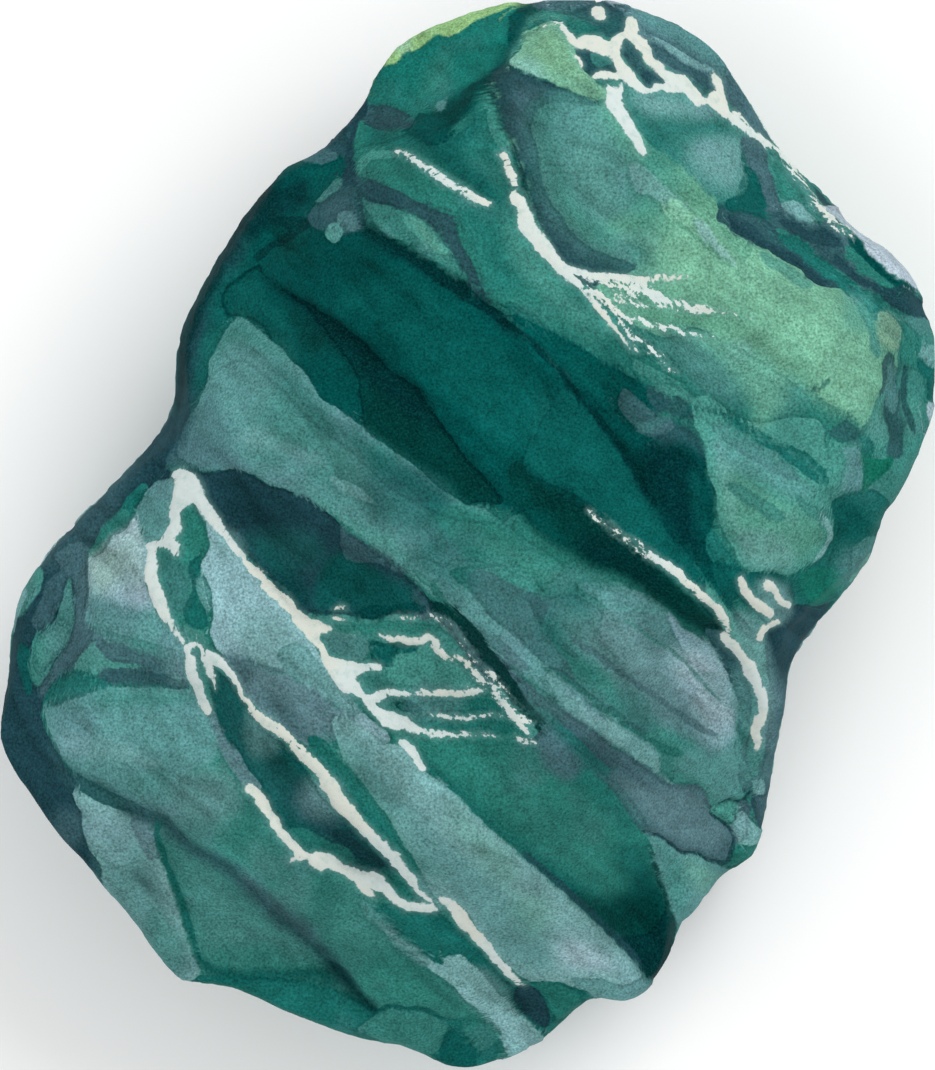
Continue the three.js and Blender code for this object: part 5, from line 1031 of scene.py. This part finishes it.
def painted(x, y):
    """The marks at plan points, without the veins."""
    wx, wy = wandered(x, y, EDGE_WANDER, EDGE_SEED)
    broad = layered(x, y, SOFT_NOISE)
    paint = Paint(len(x))
    for name, softness, dried, strength, points in WASHES:
        outline = curve(in_mm(points), True, CURVE_PIECES)
        near = around(x, y, outline, softness + EDGE_REACH)
        depth = depth_in_outline(wx[near], wy[near], outline) + SOFT_WANDER * softness * broad[near]
        if softness <= CRISP:
            paint.cut(near, COLOURS[name], strength, depth, dried)
            paint.carved[near] += GROOVE_DEPTH * dried * bump(depth, GROOVE_PLACE, GROOVE_WIDTH)
        else:
            paint.soften(near, COLOURS[name], strength * ramp(depth, -softness / 2, softness / 2))
    for name, softness, strength, width, points in LINES:
        path = curve(in_mm(points), False, CURVE_PIECES)
        steps = np.arange(len(path))
        taper = np.clip(np.minimum(steps, steps[::-1]) / LINE_TAPER + LINE_TIP, 0, 1)
        near = around(x, y, path, softness + width)
        depth = depth_in_stroke(wx[near], wy[near], np.column_stack([path, width * taper]))
        cover = strength * ramp(depth, -softness / 2 - LINE_SPREAD, softness / 2)
        if softness < CRISP_LINE:
            paint.cut(near, COLOURS[name], strength, depth, 0)
        else:
            paint.soften(near, COLOURS[name], cover)
        paint.carved[near] += LINE_DEPTH * cover
    paint.settle()
    paint.weather(x, y, wx, wy)
    return paint


def fractured(x, y):
    """Short fracture steps along the grain, each crisp on one side and fading on the other.

    Gives the painted shade and light that they leave on each plan point, as a share, and how far they drop
    it.
    """
    chance = np.random.default_rng(STEP_SEED)
    shade = np.zeros(len(x))
    drop = np.zeros(len(x))
    half_width, half_length = size.x / 2 / MM, size.y / 2 / MM
    for _ in range(STEP_COUNT):
        from_x = x - chance.uniform(-half_width, half_width)
        from_y = y - chance.uniform(-half_length, half_length)
        bearing = GRAIN_BEARING + chance.normal(0, STEP_TURN)
        reach = chance.uniform(*STEP_REACH)
        fade = chance.uniform(*STEP_FADE)
        strength = chance.uniform(*STEP_STRENGTH)
        bend = chance.normal(0, STEP_BEND)
        side = chance.choice([-1, 1])
        along, across = along_grain(from_x, from_y, bearing)
        across = side * across + bend * along**2
        near = (np.abs(along) < reach) & (across > STEP_BAND[0]) & (across < STEP_BAND[1] * fade)
        step = ramp(across[near], *STEP_EDGE) * np.exp(-across[near] / fade)
        step *= ramp(reach - np.abs(along[near]), 0, STEP_TAPER * reach)
        shade[near] += strength * step
        drop[near] += STEP_DROP * abs(strength) * step
    return shade, drop


def veined(x, y):
    """How far plan points are inside a vein, and how dry and broken the vein is there."""
    wx, wy = wandered(x, y, VEIN_WANDER, VEIN_SEED)
    inside = np.full(len(x), FAR_OUTSIDE)
    dryness = np.zeros(len(x))
    for dry, points in VEINS:
        path = curve(in_mm(points), False, VEIN_PIECES)
        path[:, 2] *= VEIN_GAIN
        near = around(x, y, path, VEIN_REACH)
        depth = depth_in_stroke(wx[near], wy[near], path)
        dryness[near] = np.where(depth > inside[near], dry, dryness[near])
        inside[near] = np.maximum(inside[near], depth)
    return inside, dryness


# ---- the surface ----

TRIANGLE_LIMIT = 196000
FIRST_SHARE = 0.7  # the faces are split in two rounds, the first of which ends at this share of the limit
SPLIT_COST = 8.2  # how many triangles one split face adds, those of its neighbours' new corners among them
FLAT = radians(60)  # triangles that lie flatter to each other than this are joined
WELD = 1e-6  # corners nearer to each other than this are one, in metres
SEEN_FROM_ABOVE = 0.05  # how far up a face looks at least, if it is split once more
RELAX_ROUNDS = 2
FLOOR_HEIGHT = 0.2 * MM  # what lies lower than this stays on the floor
# A crisp edge counts in full for the corners within the first distance of it, and no more at the second.
EDGE_COUNTS = (0.1, 0.35)
VEIN_COUNTS = (0, 0.3)  # the same for a vein's edge
PLAIN_CHANGE = 0.12  # how much a face with nothing on it counts when faces are picked to be split

WEDGE = 5  # the rim's height is taken in wedges of this many degrees
WEDGES = 360 // WEDGE
RIM_EVENING = 2  # how often those heights are evened out with their neighbours'
FOLD = 0.8  # below the rim, a millimetre down repeats the marks this far back in from the rim
FOLD_LIMIT = 0.9  # but at most this share of the way to the middle
SHEAR = 0.55  # and this far round it, so that they aren't a plain mirror image
UNDER_RAGGED = (3, 4, 41)  # how ragged the underside's border is
UNDER_BORDER = (2.5, 5.5)  # and between which heights, in millimetres, it lies
UNDER_SCALE = 0.8  # the underside shows this much of the plan, mirrored
UNDER_SHIFT = (5, -4)  # and moved this far, in millimetres

RIM_SWELL = 0.26  # how far the rim is let out everywhere, in millimetres
RIM_BULGES = [(120, 14, 0.6), (174, 8, 0.35), (322, 14, 0.25), (30, 8, 0.3)]  # bearing, width, how much more
SWELL_FALL = 1.5  # how soon the swell dies out where the surface isn't upright
TONE_RELIEF = 0.9  # how much higher white would stand than black, in millimetres
MIDDLE_TONE = 0.45  # the tone that is left at its height
TONE_BLUR = 0.45  # half the width, in millimetres, over which a crisp edge changes the height
VEIN_HEIGHT = 0.14  # how proud a vein stands, in millimetres
FINE_HACKLE, LONG_HACKLE, PITS = (0.10, 1, 61), (0.16, 1.1, 62), (0.07, 0.5, 63)
HACKLE_LENGTH = 5  # the long hackle's ridges are this many times as long as wide
HACKLE_LEAN = 0.6  # and they move this far across the grain for each millimetre up
VEIN_FLANK = (-0.1, 0.3)  # from outside a vein's edge to inside it, where it has its full height
FLOOR_FADE = (0.1, 1.5)  # relief starts and is full at these heights above the floor, in millimetres
ON_FLOOR = 0.02  # what is lower than this lies on the floor
BOX_MARGIN = 0.02  # every other point stays this far inside the solid's box

# The marks' colours are as the stone looks. Its own colour is what is left without the light and the sheen.
COLOUR_GAIN = np.array([0.812, 0.83, 0.885])
SHEEN = np.array([0.0006, 0.0015, 0.0015])
DARKEST = 0.0008  # no part of a colour is less than this


def rounded_copy(node):
    """The solid's surface as quads, rounded everywhere, and split once more where it is seen from above."""
    shape = bmesh.new()
    shape.from_mesh(node.data)
    bmesh.ops.remove_doubles(shape, verts=shape.verts, dist=WELD)
    bmesh.ops.join_triangles(
        shape, faces=shape.faces, angle_face_threshold=FLAT, angle_shape_threshold=FLAT
    )
    start = placed("stone_start", as_mesh(shape, "stone_start"))
    rounding = start.modifiers.new("rounding", "SUBSURF")
    rounding.levels = 1
    graph = bpy.context.evaluated_depsgraph_get()
    smooth = bpy.data.meshes.new_from_object(start.evaluated_get(graph))
    bpy.data.objects.remove(start)
    shape = bmesh.new()
    shape.from_mesh(smooth)
    shape.normal_update()
    subdivide(shape, [face for face in shape.faces if face.normal.z > SEEN_FROM_ABOVE])
    return shape


def as_mesh(shape, name):
    """A mesh of the shape, which is used up."""
    mesh = bpy.data.meshes.new(name)
    shape.to_mesh(mesh)
    shape.free()
    return mesh


def subdivide(shape, faces):
    """Splits these faces in four, and joins the new corners to what is round them."""
    edges = {edge for face in faces for edge in face.edges}
    bmesh.ops.subdivide_edges(shape, edges=list(edges), cuts=1, use_grid_fill=True)


def triangle_count(shape):
    return sum(len(face.verts) - 2 for face in shape.faces)


def places(shape):
    """Where the shape's corners are, in millimetres."""
    return np.array([vertex.co for vertex in shape.verts]) / MM


def relax(shape):
    """Evens the surface out a little. What lies flat on the floor stays there."""
    for _ in range(RELAX_ROUNDS):
        moving = [vertex for vertex in shape.verts if vertex.co.z > FLOOR_HEIGHT]
        bmesh.ops.smooth_vert(
            shape, verts=moving, factor=0.5, use_axis_x=True, use_axis_y=True, use_axis_z=True
        )


def rim_heights(points):
    """For each wedge of directions from the middle, the height of the widest line."""
    angle = np.degrees(np.arctan2(points[:, 1], points[:, 0])) % 360
    reach = np.hypot(points[:, 0], points[:, 1])
    heights = []
    for start in range(0, 360, WEDGE):
        wedge = np.flatnonzero((angle >= start) & (angle < start + WEDGE))
        heights.append(points[wedge[np.argmax(reach[wedge])], 2])
    heights = np.array(heights)
    for _ in range(RIM_EVENING):
        heights = (np.roll(heights, 1) + 2 * heights + np.roll(heights, -1)) / 4
    return heights


def plan(points, rim):
    """Where each point of the surface takes its marks from.

    Above the rim that is straight down through the plan. Below it the marks run back in from the rim, like a
    folded sheet, and the underside has the plan turned over. The last column says how much a point is
    underneath.
    """
    x, y, z = points.T
    turn = (np.degrees(np.arctan2(y, x)) % 360) / WEDGE - 0.5
    first = np.floor(turn).astype(int)
    share = turn - first
    edge = rim[first % WEDGES] * (1 - share) + rim[(first + 1) % WEDGES] * share
    below = np.maximum(0, edge - z)
    reach = np.maximum(1, np.hypot(x, y))
    kept = 1 - np.minimum(FOLD * below, reach * FOLD_LIMIT) / reach
    round_by = SHEAR * below / reach
    under = (z < edge) * (1 - ramp(z + layered(x, y, UNDER_RAGGED), *UNDER_BORDER))
    return kept * (x - y * round_by), kept * (y + x * round_by), under


def marks_at(x, y):
    """Every mark's value at plan points."""
    paint = painted(x, y)
    inside, dryness = veined(x, y)
    return {
        "outer": paint.outer,
        "inner": paint.inner,
        "edge": paint.edge,
        "dried": paint.dried,
        "vein": inside,
        "dry": dryness,
        "carved": paint.carved,
    }


def sampled(points, rim):
    """Every mark's value at points of the surface."""
    x, y, under = plan(points, rim)
    values = marks_at(x, y)
    beneath = under > 0.5
    turned_x = UNDER_SCALE * -points[beneath, 0] + UNDER_SHIFT[0]
    turned_y = UNDER_SCALE * points[beneath, 1] + UNDER_SHIFT[1]
    for name, column in marks_at(turned_x, turned_y).items():
        values[name][beneath] = column
    return values


def refine(shape, rim):
    """Splits the faces across which the marks change most, until the triangles run out."""
    for share in (FIRST_SHARE, 1):
        values = sampled(places(shape), rim)
        look = shown(values["outer"], values["inner"], values["edge"]) ** (1 / SCREEN_GAMMA)
        step = np.abs(values["outer"] - values["inner"]).sum(axis=1) ** 0.5
        step *= 1 - ramp(np.abs(values["edge"]), *EDGE_COUNTS)
        thin = 1 - ramp(np.abs(values["vein"]), *VEIN_COUNTS)
        shape.verts.index_update()
        shape.faces.ensure_lookup_table()
        contrast = []
        for face in shape.faces:
            corners = [vertex.index for vertex in face.verts]
            change = (look[corners].max(axis=0) - look[corners].min(axis=0)).sum()
            change += step[corners].max() + thin[corners].max() + PLAIN_CHANGE
            contrast.append(change * face.calc_area())
        order = np.argsort(contrast)[::-1]
        room = (TRIANGLE_LIMIT * share - triangle_count(shape)) / SPLIT_COST
        subdivide(shape, [shape.faces[i] for i in order[: max(0, int(room))]])


def relief(points, values):
    """How far each point stands out, in millimetres: pale marks high, dark ones low, veins proud, hackle."""
    x, y, z = points.T
    colour = shown(values["outer"], values["inner"], values["edge"], TONE_BLUR)
    tone = (colour @ BRIGHTNESS) ** (1 / SCREEN_GAMMA)
    along, across = along_grain(x, y, GRAIN_BEARING)
    fine = np.abs(layered(along, across + z, FINE_HACKLE))
    long = layered(along / HACKLE_LENGTH, across + HACKLE_LEAN * z, LONG_HACKLE)
    pits = layered(x + z, y - z, PITS)
    proud = VEIN_HEIGHT * ramp(values["vein"], *VEIN_FLANK)
    return TONE_RELIEF * (tone - MIDDLE_TONE) - values["carved"] + (fine + long) + pits + proud


def rim_swell(points, normals):
    """How far the rim is let out, in millimetres, to give back what rounding took from the outline."""
    bearing = np.degrees(np.arctan2(points[:, 1], points[:, 0]))
    swell = np.full(len(points), RIM_SWELL)
    for bulge_bearing, width, extra in RIM_BULGES:
        off = (bearing - bulge_bearing + 180) % 360 - 180
        swell += extra * bump(off, 0, width)
    return swell * (1 - normals[:, 2] ** 2) ** SWELL_FALL


def carve(shape, values):
    """Moves the corners out and in, inside the solid's own box. What lies on the floor stays flat."""
    points = places(shape)
    normals = np.array([vertex.normal for vertex in shape.verts])
    lift = relief(points, values) + rim_swell(points, normals)
    moved = points + normals * (lift * ramp(points[:, 2], *FLOOR_FADE))[:, None]
    moved = np.clip(moved, np.array(low) / MM + BOX_MARGIN, np.array(high) / MM - BOX_MARGIN)
    moved[:, 2] = np.where(points[:, 2] < ON_FLOOR, 0, moved[:, 2])
    for vertex, place in zip(shape.verts, moved * MM):
        vertex.co = place


def build_stone():
    shape = rounded_copy(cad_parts[NODE])
    relax(shape)
    rim = rim_heights(places(shape))
    refine(shape, rim)
    shape.normal_update()
    values = sampled(places(shape), rim)
    carve(shape, values)
    bmesh.ops.triangulate(shape, faces=[face for face in shape.faces if len(face.verts) > 4])
    mesh = as_mesh(shape, "stone")
    mesh.shade_smooth()
    for name in ("outer", "inner"):
        own = np.maximum(DARKEST, COLOUR_GAIN * values[name] - SHEEN)
        layer = mesh.attributes.new(name, "FLOAT_COLOR", "POINT")
        opaque = np.column_stack([own, np.ones(len(own))])
        layer.data.foreach_set("color", opaque.astype(np.float32).ravel())
    for name in ("edge", "dried", "vein", "dry"):
        layer = mesh.attributes.new(name, "FLOAT", "POINT")
        layer.data.foreach_set("value", values[name].astype(np.float32))
    return placed("stone", mesh)


# ---- the material ----

# Noises, here: the size of their features in millimetres, their detail and their roughness.
GRAIN, MOTTLE, STREAK = (0.2, 1, 0.6), (1.3, 4, 0.65), (0.75, 3, 0.6)
EDGE_WOBBLE, VEIN_WOBBLE = (0.45, 2, 0.6), (0.4, 2, 0.6)
SPECKS, STAINS, WARM_PATCHES = (0.18, 1), (0.7, 3, 0.7), (9, 1)
DRY_GAPS, DRY_STREAKS = (0.35, 2, 0.6), (0.4, 1)

GRAIN_STRETCH = (0.16, 1, 0.6)  # streaks are drawn out along the grain by squeezing the noise's own space
GRAIN_LIGHT, MOTTLE_LIGHT, STREAK_LIGHT = 1.7, 0.7, 0.3  # how much each noise lightens or darkens the stone
EDGE_WIDTH = 0.07  # half the width of a crisp edge, in millimetres
DRIED_BAND = (0.12, 0.4)  # the dried pigment inside an edge fades between these depths, in millimetres
DRIED_EVERYWHERE = 0.12  # and every edge has at least this much
WOBBLE, VEIN_RAGGED = 0.22, 0.3  # how far noise moves a crisp edge and a vein's edge, in millimetres
VEIN_EDGE = 0.06  # half the width of a vein's edge
DRY_BREAKS, DRY_START = 1.1, 0.25  # how deep noise and mere dryness break the driest vein, in millimetres
HALO = (-0.5, 0.1)  # the stone pales towards a vein between these depths in it, in millimetres
HALO_STRENGTH = 0.28
# Specks, stains and warm patches come in between these values of their noise. The first two stay thin.
SPECKS_FROM, STAINS_FROM, WARM_FROM = (-0.1, 0.35), (-0.05, 0.3), (-0.08, 0.12)
SPECK_STRENGTH, STAIN_STRENGTH = 0.2, 0.4
ROUGHNESS, ROUGHNESS_CHANGE = 0.7, 0.25
BUMP_HEIGHT, BUMP_STRENGTH = 0.05, 0.5
SHEEN_LEVEL = 0.015

DRIED_PIGMENT = (0, 0.01, 0.015, 1)
SPECK = (0.012, 0.17, 0.14, 1)
SHEEN_TINT = (0.05, 0.6, 0.6, 1)


class Nodes:
    """Short ways to add nodes to a material and join them."""

    def __init__(self, name):
        self.material = bpy.data.materials.new(name)
        self.material.use_nodes = True
        self.tree = self.material.node_tree
        self.shader = self.tree.nodes["Principled BSDF"].inputs

    def add(self, kind, inputs=(), **settings):
        node = self.tree.nodes.new(kind)
        for key, value in settings.items():
            setattr(node, key, value)
        for key, value in dict(inputs).items():
            self.feed(node.inputs[key], value)
        return node

    def feed(self, socket, value):
        if isinstance(value, bpy.types.NodeSocket):
            self.tree.links.new(value, socket)
        else:
            socket.default_value = value

    def math(self, operation, *values):
        return self.add("ShaderNodeMath", enumerate(values), operation=operation).outputs[0]

    def times(self, value, gain):
        return self.math("MULTIPLY", value, gain)

    def plus(self, total, *others):
        for other in others:
            total = self.math("ADD", total, other)
        return total

    def attribute(self, name, output="Fac"):
        return self.add("ShaderNodeAttribute", attribute_name=name).outputs[output]

    def mapping(self, vector, **settings):
        return self.add("ShaderNodeMapping", {"Vector": vector, **settings}).outputs[0]

    def noise(self, vector, feature, detail=2, roughness=0.5):
        """Noise about 0, from about -0.5 to 0.5, with features of that size in millimetres."""
        inputs = {"Vector": vector, "Scale": 1 / (feature * MM), "Detail": detail, "Roughness": roughness}
        return self.math("SUBTRACT", self.add("ShaderNodeTexNoise", inputs).outputs["Fac"], 0.5)

    def ramp(self, value, start, end, before=0, after=1):
        inputs = {"Value": value, "From Min": start, "From Max": end, "To Min": before, "To Max": after}
        return self.add("ShaderNodeMapRange", inputs, interpolation_type="SMOOTHSTEP").outputs["Result"]

    def mix(self, share, first, second):
        """The first colour turning into the second. The sockets' numbers are those of the node's colours."""
        node = self.add("ShaderNodeMix", {0: share, 6: first, 7: second}, data_type="RGBA")
        return node.outputs[2]


def paint_colour(nodes, where, strength):
    """The stone's colour between the veins, drawn from the two colours and the edge kept on the mesh."""
    edge = nodes.plus(nodes.attribute("edge"), nodes.times(nodes.noise(where, *EDGE_WOBBLE), WOBBLE))
    share = nodes.ramp(edge, -EDGE_WIDTH, EDGE_WIDTH)
    tint = nodes.mix(share, nodes.attribute("outer", "Color"), nodes.attribute("inner", "Color"))
    band = nodes.times(share, nodes.ramp(edge, *DRIED_BAND, 1, 0))
    dried = nodes.times(band, nodes.plus(nodes.attribute("dried"), DRIED_EVERYWHERE))
    tint = nodes.mix(dried, tint, DRIED_PIGMENT)
    toned = nodes.add("ShaderNodeHueSaturation", {"Color": tint, "Value": strength}).outputs[0]
    return nodes.mix(nodes.ramp(nodes.noise(where, *SPECKS), *SPECKS_FROM, 0, SPECK_STRENGTH), toned, SPECK)


def with_veins(nodes, where, drawn_out, stone):
    """The stone's colour with its pale veins over it: broken where they are dry, and stained in places."""
    broken = nodes.plus(nodes.noise(where, *DRY_GAPS), nodes.noise(drawn_out, *DRY_STREAKS))
    gaps = nodes.times(nodes.attribute("dry"), nodes.plus(nodes.times(broken, DRY_BREAKS), DRY_START))
    depth = nodes.math("SUBTRACT", nodes.attribute("vein"), gaps)
    ragged = nodes.plus(depth, nodes.times(nodes.noise(where, *VEIN_WOBBLE), VEIN_RAGGED))
    vein = nodes.ramp(ragged, -VEIN_EDGE, VEIN_EDGE)
    haze = (*COLOURS["haze"], 1)
    pale, warm = ((*(COLOUR_GAIN * COLOURS[name]), 1) for name in ("cream", "ivory"))
    cream = nodes.mix(nodes.ramp(nodes.noise(where, *WARM_PATCHES), *WARM_FROM), pale, warm)
    stains = nodes.ramp(nodes.noise(where, *STAINS), *STAINS_FROM, 0, STAIN_STRENGTH)
    stained = nodes.mix(stains, cream, haze)
    halo = nodes.ramp(depth, *HALO, 0, HALO_STRENGTH)
    return nodes.mix(vein, nodes.mix(halo, stone, haze), stained)


def jade_material():
    nodes = Nodes("raw_jade")
    where = nodes.add("ShaderNodeTexCoord").outputs["Object"]
    turned = nodes.mapping(where, Rotation=(0, 0, -GRAIN_BEARING))
    drawn_out = nodes.mapping(turned, Scale=GRAIN_STRETCH)
    grain = nodes.noise(where, *GRAIN)
    mottle = nodes.noise(where, *MOTTLE)
    streak = nodes.noise(drawn_out, *STREAK)
    lights = (grain, GRAIN_LIGHT), (mottle, MOTTLE_LIGHT), (streak, STREAK_LIGHT)
    strength = nodes.plus(*(nodes.times(value, gain) for value, gain in lights), 1)
    stone = paint_colour(nodes, where, strength)
    nodes.feed(nodes.shader["Base Color"], with_veins(nodes, where, drawn_out, stone))
    nodes.feed(nodes.shader["Specular IOR Level"], SHEEN_LEVEL)
    nodes.feed(nodes.shader["Specular Tint"], SHEEN_TINT)
    nodes.feed(nodes.shader["Roughness"], nodes.plus(nodes.times(mottle, ROUGHNESS_CHANGE), ROUGHNESS))
    height = nodes.plus(nodes.times(grain, BUMP_HEIGHT), nodes.times(streak, BUMP_HEIGHT))
    raised = nodes.add("ShaderNodeBump", {"Height": height, "Strength": BUMP_STRENGTH, "Distance": MM})
    nodes.feed(nodes.shader["Normal"], raised.outputs[0])
    return nodes.material


stone = build_stone()
stone.data.materials.append(jade_material())
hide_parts(NODE)
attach(stone, "root")

# ---- floor and light ----

FLOOR_SIZE = 3
FLOOR_DROP = 0.1 * MM  # keeps the floor clear of the flat that the stone rests on
FLOOR_WHITE = (0.96, 0.96, 0.96, 1)
FLOOR_ROUGHNESS, FLOOR_SHEEN = 0.9, 0.1
ROOM_WHITE, ROOM_STRENGTH = (1, 1, 1, 1), 0.8


def plain_floor():
    half = FLOOR_SIZE / 2
    corners = [(-half, -half, 0), (half, -half, 0), (half, half, 0), (-half, half, 0)]
    mesh = bpy.data.meshes.new("floor")
    mesh.from_pydata(corners, [], [(0, 1, 2, 3)])
    floor = placed("floor", mesh)
    floor.location.z = -FLOOR_DROP
    nodes = Nodes("floor_white")
    nodes.feed(nodes.shader["Base Color"], FLOOR_WHITE)
    nodes.feed(nodes.shader["Roughness"], FLOOR_ROUGHNESS)
    nodes.feed(nodes.shader["Specular IOR Level"], FLOOR_SHEEN)
    mesh.materials.append(nodes.material)


def soft_light(name, toward, distance, width, power):
    """A square area light on the side that toward points to, facing the stone."""
    light = bpy.data.lights.new(name, "AREA")
    light.size = width
    light.energy = power
    lamp = placed(name, light)
    direction = Vector(toward).normalized()
    lamp.location = middle + direction * distance
    lamp.rotation_euler = (-direction).to_track_quat("-Z", "Y").to_euler()


def pale_room():
    """Even white light from all round."""
    world = bpy.data.worlds.new("room")
    bpy.context.scene.world = world
    world.use_nodes = True
    background = world.node_tree.nodes["Background"].inputs
    background["Color"].default_value = ROOM_WHITE
    background["Strength"].default_value = ROOM_STRENGTH


plain_floor()
soft_light("key", toward=(0.55, 0.65, 0.85), distance=0.9, width=0.6, power=4)
soft_light("fill", toward=(-0.6, -0.3, 0.9), distance=1.0, width=0.8, power=1.5)
pale_room()
